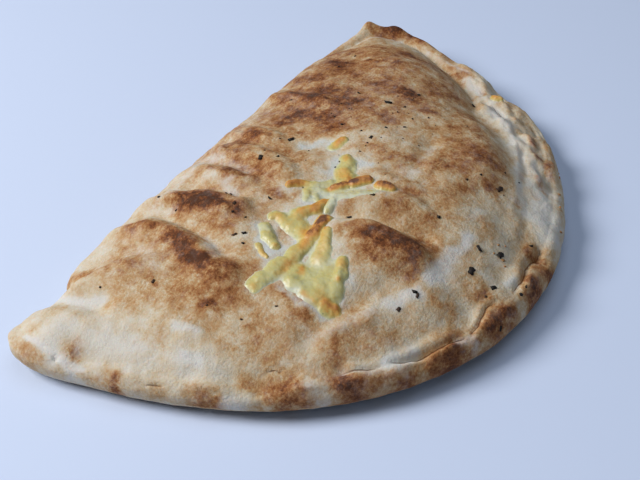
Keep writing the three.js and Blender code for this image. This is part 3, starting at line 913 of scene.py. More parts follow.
def strip_between(first: int, inner: int, outer: int) -> Array:
    """Joins two closed rings of any two counts by a strip that walks round both at an even pace.

    Args:
        first: Number of the inner ring's first corner. The outer ring follows it.
        inner: Corners on the inner ring. A ring of one corner is joined by a fan.
        outer: Corners on the outer ring, which may be one too.

    Returns:
        Triangles as rows of corner numbers.
    """
    j = np.arange(outer)
    i = np.ceil((j + 0.5) * inner / outer - 0.5).astype(int) % inner
    out_faces = np.column_stack([first + i, first + inner + j, first + inner + (j + 1) % outer])
    i = np.arange(inner)
    j = np.floor((i + 0.5) * outer / inner + 0.5).astype(int) % outer
    in_faces = np.column_stack([first + i, first + inner + j, first + (i + 1) % inner])
    if inner == 1:
        return out_faces
    return in_faces if outer == 1 else np.vstack([out_faces, in_faces])


def close_rings(rings: list[Array]) -> tuple[Array, Array]:
    """Makes a closed surface from rings of points, the first and the last of a single point.

    Args:
        rings: The rings in order, each an array with one row a point.

    Returns:
        The corners, and triangles as rows of corner numbers.
    """
    counts = [len(ring) for ring in rings]
    firsts = np.cumsum([0, *counts[:-2]])
    return np.vstack(rings), np.vstack(list(map(strip_between, firsts, counts[:-1], counts[1:])))


# --- shading


Colour = tuple[float, float, float]
Stops = tuple[tuple[float, Colour], ...]
Output = bpy.types.NodeSocket
Level = Output | float
Feeds = dict[str | int, object]


class Sheet:
    """A node tree being filled: short calls that add, set and link its nodes."""

    def __init__(self, tree: bpy.types.NodeTree) -> None:
        """Takes the tree to fill."""
        self.tree = tree

    def feed(self, node: bpy.types.Node, inputs: Feeds) -> None:
        """Sets or links a node's inputs.

        Args:
            node: The node.
            inputs: For each socket, by name or number, a value to set or an output to link.
        """
        for key, value in inputs.items():
            if isinstance(value, Output):
                self.tree.links.new(value, node.inputs[key])
            else:
                node.inputs[key].default_value = value

    def add(self, kind: str, inputs: Feeds | None = None, **settings: object) -> bpy.types.Node:
        """Adds a node.

        Args:
            kind: The node's type.
            inputs: What feed sets or links.
            settings: Properties of the node.

        Returns:
            The new node.
        """
        node = self.tree.nodes.new(kind)
        for name, value in settings.items():
            setattr(node, name, value)
        self.feed(node, inputs or {})
        return node

    def math(self, operation: str, first: Level, second: Level, clamp: bool) -> Output:
        """Adds a sum and returns its result, held between 0 and 1 where clamp says so."""
        node = self.add("ShaderNodeMath", {0: first, 1: second}, operation=operation, use_clamp=clamp)
        return node.outputs[0]

    def times(self, first: Level, second: Level) -> Output:
        """Returns the product of two levels."""
        return self.math("MULTIPLY", first, second, clamp=False)

    def plus(self, first: Level, second: Level, clamp: bool = False) -> Output:
        """Returns the sum of two levels."""
        return self.math("ADD", first, second, clamp)

    def minus(self, first: Level, second: Level, clamp: bool = False) -> Output:
        """Returns the first level less the second."""
        return self.math("SUBTRACT", first, second, clamp)

    def noise(self, place: Output, scale: float, detail: float, roughness: float = 0.5) -> Output:
        """Returns smooth noise from 0 to 1, by its waves in a metre, finer layers and their strength."""
        wanted = {"Vector": place, "Scale": scale, "Detail": detail, "Roughness": roughness}
        return self.add("ShaderNodeTexNoise", wanted).outputs["Fac"]

    def waves(self, place: Output, scale: float, detail: float, roughness: float = 0.5) -> Output:
        """Returns smooth noise that swings about nought, by a half either way."""
        return self.minus(self.noise(place, scale, detail, roughness), 0.5)

    def place(self) -> Output:
        """Returns the output that gives the place on the piece."""
        return self.add("ShaderNodeTexCoord").outputs["Object"]

    def level(self, name: str) -> Output:
        """Returns the output that reads a level painted on the piece."""
        return self.add("ShaderNodeAttribute", attribute_name=name).outputs["Fac"]

    def remap(self, value: Output, low: float, high: float, first: float = 0.0, last: float = 1.0) -> Output:
        """Returns a smooth change of range, from first at and below low to last at and above high."""
        wanted = {"Value": value, "From Min": low, "From Max": high, "To Min": first, "To Max": last}
        return self.add("ShaderNodeMapRange", wanted, interpolation_type="SMOOTHSTEP").outputs["Result"]

    def blend(self, share: Output, first: Output, second: Colour) -> Output:
        """Lays a colour over another.

        Args:
            share: Share of the second colour.
            first: The colour below.
            second: The colour on top.

        Returns:
            The mixed colour.
        """
        node = self.add("ShaderNodeMix", data_type="RGBA")
        sockets = {socket.identifier: number for number, socket in enumerate(node.inputs)}
        fed = {"Factor_Float": share, "A_Color": first, "B_Color": (*second, 1.0)}
        self.feed(node, {sockets[key]: value for key, value in fed.items()})
        return next(output for output in node.outputs if output.identifier == "Result_Color")

    def ramp(self, level: Output, stops: Stops) -> Output:
        """Adds a colour ramp.

        Args:
            level: Output that picks the colour.
            stops: Places from 0 to 1 with their colours.

        Returns:
            The colour.
        """
        node = self.add("ShaderNodeValToRGB", {"Fac": level})
        elements = node.color_ramp.elements
        while len(elements) < len(stops):
            elements.new(0.5)
        for element, (place, colour) in zip(elements, stops):
            element.position = place
            element.color = (*colour, 1.0)
        return node.outputs["Color"]

    def bump(self, height: Output, strength: float, depth: float) -> Output:
        """Returns the normal of a surface raised by a height, at most by a depth in metres."""
        wanted = {"Height": height, "Strength": strength, "Distance": depth}
        return self.add("ShaderNodeBump", wanted).outputs["Normal"]

    def grained(self, baking: Output, mottle: Level) -> bpy.types.bpy_prop_collection:
        """Returns the oven grain's outputs, for a level of baking and the strength of its mottles."""
        wanted = {"Place": self.place(), "Baking": baking, "Mottle": mottle}
        return self.add("ShaderNodeGroup", wanted, node_tree=oven_grain()).outputs


def oven_grain() -> bpy.types.ShaderNodeTree:
    """Builds the node group that mottles what has been in the oven.

    Returns:
        A group that takes a place, a level of baking and the strength of its mottles, and gives the
        mottled level, a mask of dark specks and a skin height.
    """
    group = bpy.data.node_groups.get("oven_grain")
    if group:
        return group
    group = bpy.data.node_groups.new("oven_grain", "ShaderNodeTree")
    group.interface.new_socket("Place", in_out="INPUT", socket_type="NodeSocketVector")
    for flow, names in (("INPUT", ("Baking", "Mottle")), ("OUTPUT", ("Level", "Dark Specks", "Skin"))):
        for name in names:
            group.interface.new_socket(name, in_out=flow, socket_type="NodeSocketFloat")
    sheet = Sheet(group)
    given = sheet.add("NodeGroupInput").outputs
    place = given["Place"]
    broad = sheet.waves(place, 75.0, 2.0)
    middle = sheet.waves(place, 230.0, 4.0, 0.6)
    fine = sheet.waves(place, 820.0, 3.0, 0.7)
    waves = sheet.plus(sheet.times(broad, 0.55), sheet.times(middle, 0.62))
    waves = sheet.plus(waves, sheet.times(fine, 0.55))
    results = {
        "Level": sheet.plus(given["Baking"], sheet.times(waves, given["Mottle"]), clamp=True),
        "Dark Specks": sheet.remap(sheet.noise(place, 640.0, 2.0), 0.66, 0.78),
        "Skin": sheet.plus(sheet.times(middle, 0.6), sheet.times(fine, 0.8)),
    }
    sheet.add("NodeGroupOutput", results)
    return group


def principled(name: str, settings: dict[str, object]) -> tuple[Material, Sheet, bpy.types.Node]:
    """Starts a material.

    Args:
        name: The material's name.
        settings: Values of the Principled BSDF that are the same all over.

    Returns:
        The material, a sheet on its tree and its Principled BSDF.
    """
    material = bpy.data.materials.new(name)
    material.use_nodes = True
    sheet = Sheet(material.node_tree)
    shader = next(node for node in material.node_tree.nodes if node.type == "BSDF_PRINCIPLED")
    sheet.feed(shader, settings)
    return material, sheet, shader


@dataclass(frozen=True)
class DoughFinish:
    """Matt baked dough, from pale cream through golden tan to dark brown, dusted with dry flour, with painted
    shadow down its slits.
    """

    baking: Stops = (
        (0.0, (0.595, 0.545, 0.455)), (0.18, (0.55, 0.445, 0.305)), (0.38, (0.45, 0.275, 0.13)),
        (0.58, (0.315, 0.138, 0.048)), (0.78, (0.18, 0.058, 0.018)), (1.0, (0.075, 0.026, 0.01)),
    )
    flour: Colour = (0.60, 0.58, 0.56)
    damp: Colour = (0.52, 0.54, 0.53)
    paleness: float = 0.04
    pale_mottle: float = 0.38
    brown_mottle: float = 1.85
    flour_cover: float = 0.85
    flour_on_char: float = 0.35
    damp_cover: float = 0.85
    char_specks: float = 0.5
    # how dark the painted shadow line down each slit is
    slit_painted_shadow: float = 0.7
    slit_width: float = 0.085
    dryness: float = 0.84
    gloss_of_damp: float = 0.35
    bump_strength: float = 0.6
    bump_depth: float = 0.0010

    def _slit(self, sheet: Sheet, dusting: Output) -> Output:
        """Adds the mask of the slits: a thin line down the middle of each, a little ragged, painted dark as
        shadow and sunk in the bump.

        Args:
            sheet: The material's sheet.
            dusting: Fine waves that make the line ragged.

        Returns:
            The mask.
        """
        aside = sheet.times(sheet.minus(sheet.level("slit_side"), 0.5), 2.0)
        gap = sheet.plus(sheet.math("ABSOLUTE", aside, 0.0, clamp=False), sheet.times(dusting, 0.06))
        line = sheet.remap(gap, 0.015, self.slit_width, 1.0, 0.0)
        return sheet.times(line, sheet.remap(sheet.level("slit"), 0.62, 0.80))

    def material(self) -> Material:
        """Makes the material, from the levels bake, flour, damp, slit and slit_side.

        Returns:
            The material.
        """
        shared = {"Specular IOR Level": 0.18, "Subsurface Weight": 0.08, "Subsurface Scale": 0.004}
        material, sheet, shader = principled("baked_dough", shared)
        bake = sheet.level("bake")
        mottle = sheet.plus(sheet.times(bake, self.brown_mottle), self.pale_mottle)
        grain = sheet.grained(sheet.minus(bake, self.paleness), mottle)
        # The scorched colour, used for the real char specks and for the painted shadow in the slits.
        char_and_shadow_colour = self.baking[-2][1]
        dusting = sheet.waves(sheet.place(), 260.0, 5.0, 0.75)
        flour_level = sheet.plus(sheet.level("flour"), sheet.times(dusting, 1.5))
        flour = sheet.remap(flour_level, -0.015, 1.285, 0.0, self.flour_cover)
        flour = sheet.times(flour, sheet.remap(bake, 0.55, 0.95, 1.0, self.flour_on_char))
        specks = sheet.times(sheet.times(grain["Dark Specks"], bake), self.char_specks)
        damp_level = sheet.plus(sheet.level("damp"), sheet.times(dusting, 0.9))
        damp = sheet.remap(damp_level, 0.15, 1.05, 0.0, self.damp_cover)
        slit = self._slit(sheet, dusting)
        colour = sheet.blend(flour, sheet.ramp(grain["Level"], self.baking), self.flour)
        colour = sheet.blend(damp, sheet.blend(specks, colour, char_and_shadow_colour), self.damp)
        # Painted shadow: a thin dark line down each slit, in the scorched colour, stands in for the shade
        # inside it.
        colour = sheet.blend(sheet.times(slit, self.slit_painted_shadow), colour, char_and_shadow_colour)
        dry = sheet.plus(sheet.times(dusting, 0.25), self.dryness)
        roughness = sheet.minus(dry, sheet.times(damp, self.gloss_of_damp))
        normal = sheet.bump(sheet.minus(grain["Skin"], slit), self.bump_strength, self.bump_depth)
        sheet.feed(shader, {"Base Color": colour, "Roughness": roughness, "Normal": normal})
        return material


@dataclass(frozen=True)
class CheeseFinish:
    """Soft-gloss melted cheese, pale yellow, with golden and orange-brown toasted parts."""

    toasting: Stops = (
        (0.0, (0.5, 0.48, 0.25)), (0.2, (0.5, 0.44, 0.17)), (0.42, (0.54, 0.37, 0.1)),
        (0.62, (0.55, 0.27, 0.05)), (0.82, (0.43, 0.17, 0.03)), (1.0, (0.12, 0.04, 0.015)),
    )
    cream: Colour = (0.55, 0.56, 0.43)
    cream_cover: float = 0.9
    mottle: float = 0.75
    char_specks: float = 0.6
    gloss: float = 0.36
    toast_dryness: float = 0.3
    bump_strength: float = 0.3
    bump_depth: float = 0.0006

    def material(self) -> Material:
        """Makes the material, from the levels toast and cream.

        Returns:
            The material.
        """
        shared = {"Specular IOR Level": 0.5, "Subsurface Weight": 0.22, "Subsurface Scale": 0.004}
        shared.update({"Subsurface Radius": (1.0, 0.7, 0.25), "Coat Weight": 0.12, "Coat Roughness": 0.25})
        material, sheet, shader = principled("melted_cheese", shared)
        toast = sheet.level("toast")
        grain = sheet.grained(toast, self.mottle)
        raw = sheet.minus(1.0, sheet.times(toast, 1.25), clamp=True)
        cream_level = sheet.times(sheet.plus(sheet.level("cream"), sheet.times(grain["Skin"], 0.5)), raw)
        cream = sheet.remap(cream_level, 0.1, 0.9, 0.0, self.cream_cover)
        specks = sheet.times(sheet.times(grain["Dark Specks"], toast), self.char_specks)
        colour = sheet.blend(cream, sheet.ramp(grain["Level"], self.toasting), self.cream)
        colour = sheet.blend(specks, colour, self.toasting[-2][1])
        roughness = sheet.plus(sheet.times(toast, self.toast_dryness), self.gloss)
        roughness = sheet.plus(roughness, sheet.times(grain["Skin"], 0.2))
        height = sheet.times(grain["Skin"], sheet.plus(toast, 0.35))
        normal = sheet.bump(height, self.bump_strength, self.bump_depth)
        sheet.feed(shader, {"Base Color": colour, "Roughness": roughness, "Normal": normal})
        return material


@dataclass(frozen=True)
class HerbFinish:
    """Dried herb flakes, almost black with a touch of green or brown, and toasted crumbs."""

    shades: Stops = (
        (0.0, (0.016, 0.012, 0.01)), (0.25, (0.035, 0.024, 0.014)), (0.5, (0.06, 0.026, 0.014)),
        (0.8, (0.17, 0.06, 0.02)), (1.0, (0.42, 0.2, 0.07)),
    )
    dryness: float = 0.7
    bump_strength: float = 0.4
    bump_depth: float = 0.0004

    def material(self) -> Material:
        """Makes the material, from the level shade.

        Returns:
            The material.
        """
        material, sheet, shader = principled("dried_herb", {"Specular IOR Level": 0.3})
        veins = sheet.waves(sheet.place(), 1500.0, 3.0)
        shade = sheet.plus(sheet.level("shade"), sheet.times(veins, 0.25), clamp=True)
        sheet.feed(shader, {
            "Base Color": sheet.ramp(shade, self.shades),
            "Roughness": sheet.plus(sheet.times(veins, 0.3), self.dryness),
            "Normal": sheet.bump(veins, self.bump_strength, self.bump_depth),
        })
        return material


@dataclass(frozen=True)
class FloorFinish:
    """A plain pale floor."""

    colour: Colour = (0.58, 0.66, 0.84)

    def material(self) -> Material:
        """Returns the finish as a material."""
        shared = {"Roughness": 0.65, "Specular IOR Level": 0.25, "Base Color": (*self.colour, 1.0)}
        return principled("pale_floor", shared)[0]


# --- the crust


@dataclass
class Crust:
    """The folded dough: its mesh, and how baked, floury and damp it is all over."""

    form: DoughForm
    finish: DoughFinish = field(default_factory=DoughFinish)
    rings: int = 150  # ring k of the upper side has sectors times k corners
    lip_rings: int = 38
    sectors: int = 6
    mesh_rim: float = 9.0
    ring_ease: float = 0.85
    curl_rings: int = 11
    base_rings: int = 24
    dimple_depth: float = 0.5
    dimple_cell: float = 9.0
    dimple_rings: float = 3.0
    edge_ruggedness: float = 0.45
    edge_cell: float = 7.0
    edge_from: float = 0.90  # share of the way to the rim
    edge_run: float = 0.08
    edge_lift: float = 4.0
    wander: float = 1.7
    halos: tuple[Patch, ...] = ()  # pale damp dough round the cheese

    # How much each cause adds to the baking, or takes from it.
    base_bake: float = 0.17
    tone_bake: float = 0.60
    proud_bake: float = 0.10
    patch_bake: float = 0.70
    patch_less_on_tone: float = 0.40
    crumple_bake: float = 0.26
    flour_hold: float = 0.20
    damp_hold: float = 0.25
    side_bake: float = 0.16
    under_bake: float = 0.34
    under_spots: float = 0.38
    under_flour: float = 0.1

    SOFTNESS = 0.62  # share of its strength that a wandering patch keeps

    # How brown: the tone of whole regions, then the single patches.
    TONES = patches(
        (0.76, 34, 88, 58, 72, 34), (0.5, 20, 33, 46, 40, 30), (0.38, 32, 22, -22, -18, -42),
        (0.46, 32, 35, 50, -30, 50, -62, 42), (0.42, 20, -102, 38, -93, 12, -80, -20), (0.25, 15, -91, 57),
        (0.2, 12, -86, -44, -68, -50), (0.24, 7, 118, -18, 98, -44, 75, -60, 50, -75), (0.5, 13, 142, 75),
        (0.24, 18, 27, -38, 60, -15), (0.4, 14, -18, 72, 30, 75), (0.6, 12, 108, 74, 119, 46, 124, 28),
        (0.5, 7, 151, 76, 151, 56, 147, 38), (0.32, 10, 120, 24, 100, 4, 78, -18, 52, -36, 32, -46),
        (0.36, 7, 20, -86, -10, -92), (0.52, 8, -30, -88, -70, -80), (0.38, 7, -100, -54, -118, -32),
        (0.5, 14, 36, 48, 60, 72), (0.26, 9, 100, 14, 84, -6, 62, -22),
    )
    # Small blisters and scorched crests, whose edges stay clear.
    SPOTS = patches(
        (0.85, 4, -144, 48), (0.5, 2.6, -145, 47), (0.7, 2.6, -144, 26), (0.8, 5, 72, 19, 70, 14),
        (0.8, 3.4, -57, 63, -55, 55, -55, 46, -56, 37, -55, 30), (0.75, 4.6, -58, 53, -57, 42),
        (0.55, 3.4, -80, 46, -83, 36, -86, 29, -90, 20, -89, 13), (0.5, 1.5, -75, 78, -77, 66, -78, 56),
        (0.9, 6, -114, -37), (0.4, 4.8, -100, -54, -96, -60), (0.5, 4.2, -88, -66, -80, -72),
        (0.5, 3, -134, -7, -131, -13), (0.4, 4.2, -40, -87, -35, -88), (0.35, 4.4, -12, -91, -4, -92),
        (0.25, 4.8, 9, -88, 16, -87), (0.75, 4.6, 147, 73, 150, 66, 151, 58), (0.6, 2.6, 144, 87),
        (0.6, 2, 122, 1, 120, -1), (0.55, 1.8, -112, 68), (0.5, 2, 92, -41, 87, -45),
        (0.42, 1.8, 61, -60, 56, -65), (0.36, 1.7, 82, -48, 78, -53), (0.4, 1.8, 96, -32, 93, -38),
        (0.36, 1.6, 75, -57, 71, -60), (0.34, 1.5, 56, -53, 53, -56), (0.3, 1.8, 50, -62, 46, -66),
        (0.62, 8.5, -44, -35, -42, -42), (0.4, 6.5, -35, -47),
    )
    LINES = patches(
        (0.95, 1.5, -124, 77, -123, 64, -118, 53), (0.7, 1.3, 127, 82, 137, 74, 143, 64),
        (0.55, 1.2, 133, 50, 143, 46), (0.6, 1.2, 141, 33, 137, 24, 134, 16), (0.6, 1.3, 112, -9, 103, -22),
        (0.7, 1.3, -147, 72, -149, 59, -149, 50, -147, 41), (0.6, 1.8, -125, 6, -123, -1),
        (0.6, 1.6, -117, 16, -114, 5), (0.55, 2, -40, -58, -23, -60, -8, -60),
    )
    BROWN = patches(
        (0.75, 2.6, 47, 73, 43, 60, 43, 50, 43, 42), (0.45, 2.2, 46, 84, 42, 78), (0.35, 10, 31, 51, 30, 35),
        (0.62, 2.8, 4, 73, 2, 63, 2, 51), (0.5, 3.4, -4, 69, -7, 61), (0.45, 3.6, 12, 48, 13, 44),
        (0.75, 2.8, -15, 67, -15, 61, -19, 51, -19, 43, -19, 35, -20, 28), (0.65, 4.5, -25, 44, -28, 38),
        (0.65, 5.5, -8, 34, -10, 27), (0.5, 5, -27, 38, -28, 29),
        (0.62, 2.6, -32, 62, -34, 55, -32, 51, -34, 41), (0.5, 2.4, -45, 58, -44, 52),
        (0.6, 4.5, -34, 22, -32, 16), (0.8, 2, -35, 17, -34, 15),
        (0.8, 3, -60, 70, -58, 63, -56, 60, -56, 53, -55, 44, -55, 36, -53, 31),
        (0.85, 3.6, -59, 58, -58, 53, -57, 45), (0.5, 3.6, -58, 37, -57, 30), (0.45, 3.2, -60, 42, -64, 36),
        (0.6, 2.4, -76, 78, -81, 66, -76, 63, -78, 53, -76, 46),
        (0.8, 4.2, -79, 45, -81, 38, -85, 30, -88, 22, -87, 13), (0.55, 3, -66, 33, -64, 27),
        (0.85, 1.4, -68, 23, -67, 22), (0.6, 3, -71, 15, -70, 12), (0.45, 3.4, -100, 57, -99, 50),
        (0.7, 1.5, -104, 37, -104, 35), (0.14, 8, -104, 27, -96, 16, -91, 1), (0.42, 5.5, -85, -12, -80, -21),
        (0.8, 3.4, 142, 78, 147, 71, 152, 62), (0.5, 3, 142, 86, 141, 82), (0.75, 2.6, 94, 57, 94, 54),
        (0.7, 3.6, 95, 47, 97, 37, 100, 26), (0.75, 2.8, 118, 40, 121, 36), (0.8, 3.6, 91, 18, 99, 13),
        (0.75, 3.6, 88, 7, 94, 4), (0.92, 4, 72, 20, 70, 14), (0.7, 3.6, 42, 14, 42, 8),
        (0.65, 2.8, 60, 1, 61, -3), (0.75, 4.4, 59, -17, 59, -25), (0.75, 4.2, 42, -39, 45, -44),
        (0.7, 3.6, 27, -49, 28, -53), (0.5, 3.2, -5, -27, -1, -31), (0.6, 3.4, -16, -25, -13, -31),
        (0.6, 3.6, 55, 53, 56, 44), (0.5, 4.2, 43, 44, 49, 35), (0.65, 3.8, 23, 30, 23, 23),
        (0.55, 3.8, 14, 5, 15, -1), (0.7, 2.6, 10, -5, 12, -8), (0.55, 3, 16, -10, 19, -15),
        (0.5, 3.8, 21, -26, 24, -30), (0.75, 4.2, 91, 76, 87, 67), (0.5, 3.2, 78, 58, 79, 49),
        (0.7, 9, -43, -33, -42, -42, -34, -49), (0.5, 6, -42, -29, -47, -43), (0.5, 5.5, -28, -39, -23, -46),
        (0.6, 3.8, -43, -19, -41, -26), (0.55, 3, -30, -6, -27, -11), (0.5, 3.8, 3, -58, 4, -60),
        (0.55, 2.4, 32, -63, 34, -62), (0.5, 4.5, -47, -47, -47, -52), (0.5, 5, -47, -66, -47, -71),
        (0.6, 5, -27, -73, -29, -78), (0.75, 3.8, 14, -79, 12, -81), (0.35, 5.5, -73, -38, -71, -51),
        (0.38, 6, -89, -44, -81, -56), (0.5, 3.6, -75, -60, -73, -62), (0.42, 5, -108, -18, -105, -26),
        (0.6, 4.4, -109, -7, -107, -12), (0.75, 2.8, -104, 10, -103, 7), (0.5, 3.8, -53, 3, -51, 1),
        (0.22, 6, -60, -63, -54, -72), (0.32, 6, -89, -27, -86, -39),
        # the same on the lip
        (0.6, 4.2, -135, -5, -131, -14), (0.55, 3.6, -120, -21, -118, -29), (0.55, 5.2, -116, -36, -113, -42),
        (0.7, 5, -100, -54, -95, -60), (0.65, 4.4, -90, -64, -78, -73), (0.7, 4, -68, -78, -60, -83),
        (0.6, 3.4, -56, -84, -49, -87), (0.8, 4.4, -40, -88, -35, -89), (0.65, 3.6, -28, -89, -23, -90),
        (0.6, 4, -12, -91, -5, -92), (0.55, 4.4, 11, -87, 9, -90),
        (0.3, 3, -154, 68, -152, 56, -149, 43, -146, 30, -143, 19, -139, 5), (0.3, 2.4, -147, 30, -145, 25),
        (0.3, 3, -100, -56, -92, -62), (0.42, 5.5, -152, 74, -153, 65), (0.3, 3, -96, -60, -88, -66),
        (0.4, 2.4, -144, 70, -143, 69), (0.62, 3.6, -110, 80, -109, 72, -108, 62),
        (0.35, 5, -129, 67, -124, 64), (0.6, 3.4, 126, 7, 127, 1), (0.5, 3, 121, -7, 113, -19),
        (0.4, 2.6, 106, -24, 101, -31), (0.6, 2.4, 96, -32, 93, -38), (0.75, 2.4, 92, -41, 87, -45),
        (0.5, 2, 82, -48, 78, -53), (0.45, 2.2, 75, -57, 71, -60), (0.7, 2.4, 61, -60, 56, -65),
        (0.55, 2.2, 50, -62, 45, -66), (0.4, 1.8, 56, -53, 53, -56), (0.35, 5, 132, -14, 118, -33),
        (0.3, 4, 104, -46, 88, -58), (0.6, 4, 144, 34, 134, 20, 129, 12), (0.6, 5, 120, 93, 108, 94),
        (0.4, 6, 80, 90, 60, 90), (0.5, 6, 20, 88, 2, 88), (0.45, 6, -45, 87, -60, 87),
    )
    FLOURY = patches(
        (0.4, 6, 126, 8, 104, -18, 88, -34, 70, -50, 52, -62, 36, -72), (0.35, 9, -60, 75, -18, 72, 30, 78),
        (0.55, 2, -28, 23, -31, 18), (0.75, 3.4, -41, 45, -43, 39),
        (0.85, 3.6, -40, -58, -32, -59, -23, -60, -15, -61, -8, -60),
        (0.85, 3.2, -60, -52, -54, -55, -49, -58), (0.45, 3.2, -93, -32, -85, -38, -76, -44, -67, -48),
        (0.7, 2.2, -117, 15, -115, 7), (0.6, 2.4, -125, 6, -123, -1),
        (0.9, 1.6, -124, 76, -122, 63, -118, 53), (0.45, 3.6, -125, 61, -120, 53),
        (0.65, 1.6, -147, 72, -149, 59, -149, 50, -147, 41), (0.25, 8, 100, -38, 79, -52, 58, -65, 31, -78),
        (0.4, 6, 54, -66, 25, -82), (0.4, 4, 58, -50, 42, -60, 32, -66), (0.7, 2.4, 129, 14, 119, 2),
        (0.6, 3.2, 106, -14, 98, -22, 88, -30, 80, -37), (0.5, 3, 70, -45, 52, -54, 34, -62),
        (0.4, 1.4, 35, -17, 20, -19), (0.6, 3, 8, -15, 10, -22), (0.6, 3.2, -129, -17, -126, -23),
        (0.45, 3.6, -108, -43, -107, -50), (0.55, 10, -140, 58, -135, 41, -133, 27),
        (0.3, 9, -129, 19, -126, -3), (0.35, 5, -36, -61, -30, -65), (0.6, 2, -96, -50, -92, -55, -86, -63),
        (0.7, 2.6, -83, -62, -79, -68, -71, -70), (0.6, 2, -55, -82, -49, -84),
        (0.45, 2.6, -76, -63, -71, -67), (0.45, 2.8, 0, -55, 9, -55),
        (0.3, 2, 129, 74, 144, 63, 143, 45, 139, 28), (0.35, 3, -21, 73, -44, 70, -66, 70),
        (0.5, 3, -20, 70, -23, 55, -26, 44), (0.5, 3, -38, 60, -39, 47), (0.55, 2.6, -65, 65, -63, 57),
        (0.55, 3.2, -74, 33, -79, 22), (0.4, 6, -91, 55, -96, 42),
    )
    DAMP = patches(
        (0.9, 3.2, 4, 35, 8, 29), (0.6, 2.6, 11, 27, 11, 23), (0.85, 2.6, 4, 4, 3, -2),
        (0.55, 3, -12, 16, -7, 9, -2, 13), (0.8, 4.2, -57, 16, -65, 8, -66, 2),
        (0.6, 2.2, -81, -12, -83, -22, -82, -30), (0.5, 2.4, -64, -34, -58, -31, -59, -24),
        (0.75, 2.4, -14, -81, -11, -83), (0.6, 2.4, -83, -63, -76, -68), (0.5, 5, -40, 2, -52, -2, -70, -14),
        (0.35, 6, 70, -60, 50, -70, 30, -80),
    )

    def _reach_of_ring(self, rim: Rim, ring: Array) -> Array:
        """Works out how far out the corners lie: even steps to the seam, then ever shorter ones.

        Args:
            rim: The rim beyond each corner.
            ring: The number of each corner's ring.

        Returns:
            The share of the way from the centre to the rim.
        """
        seam_ring = self.rings - self.lip_rings
        seam_at = 1.0 - np.maximum(rim.lip, self.mesh_rim) / rim.reach
        eased = np.sin(clamp01((ring - seam_ring) / self.lip_rings) * np.pi / 2.0) ** self.ring_ease
        return np.where(ring <= seam_ring, seam_at * ring / seam_ring, mix(seam_at, 1.0, eased))

    def _towards(self, rim: Rim, share: Array) -> Array:
        """Returns the places on the rays from the centre to the rim."""
        return mix(np.array(self.form.centre), rim.places, share[:, None])

    def _upper_rings(self) -> list[Array]:
        """Works out the upper side, from its middle to just inside the rim.

        Returns:
            The rings, the first of a single point.
        """
        counts = [1] + [self.sectors * ring for ring in range(1, self.rings)]
        shares = np.concatenate([np.arange(count) / count for count in counts])
        rim = self.form.rim_at(shares)
        s = self._reach_of_ring(rim, np.repeat(np.arange(self.rings), counts))
        places = self._towards(rim, s)
        points = np.column_stack([places, self.form.height(rim, s, places)])
        return np.split(points, np.cumsum(counts)[:-1])

    def _under_rings(self) -> list[Array]:
        """Works out the side and the underside.

        Formula: a quarter round curls in from the widest point to the floor, and the base runs in
        level from there, dimpled upwards by up to half a millimetre.

        Returns:
            The rings from the widest point inwards, the last of a single point.
        """
        count = self.sectors * self.rings
        rim = self.form.rim_at(np.arange(count) / count)
        rings = []
        for turn in np.linspace(0.0, math.pi / 2.0, self.curl_rings):
            places = self._towards(rim, 1.0 - rim.foot * (1.0 - math.cos(turn)) / rim.reach)
            rings.append(np.column_stack([places, rim.edge_height * (1.0 - math.sin(turn))]))
        for ring in range(1, self.base_rings):
            left = 1.0 - ring / self.base_rings
            size = max(int(round(count * left / 2.0)), 6)
            rim = self.form.rim_at(np.arange(size) / size)
            places = self._towards(rim, (1.0 - rim.foot / rim.reach) * left)
            waves = self.form.grain.layered(on_floor(places), self.dimple_cell)
            depth = self.dimple_depth * ease(ring / self.dimple_rings)
            rings.append(np.column_stack([places, depth * clamp01(waves + 0.2)]))
        rings.append(np.array([[*self.form.centre, 0.0]]))
        return rings

    def _roughen_edge(self, points: Array) -> Array:
        """Pushes the side in and out by small waves, fading out on the dome and towards the floor.

        Args:
            points: Corners in mm, one row each.

        Returns:
            The corners, moved.
        """
        rim = self.form.rim_towards(points[:, :2])
        outward = points[:, :2] - np.array(self.form.centre)
        reach = np.hypot(*outward.T)
        near = ease((reach / rim.reach - self.edge_from) / self.edge_run)
        near *= ease(points[:, 2] / self.edge_lift)
        waves = self.form.grain.layered(points, self.edge_cell, 4) * self.edge_ruggedness * near
        moved = points.copy()
        moved[:, :2] += outward / np.maximum(reach, 1.0)[:, None] * waves[:, None]
        return moved

    def _brown(self, points: Array, places: Array, ragged: Array) -> Array:
        """Returns the cover of all brown patches together: wandering soft ones and clear-edged spots."""
        soft = self.SOFTNESS * covered(self.BROWN, places, ragged)
        return 1.0 - (1.0 - soft) * (1.0 - covered(self.SPOTS, points[:, :2], 0.5 * ragged))

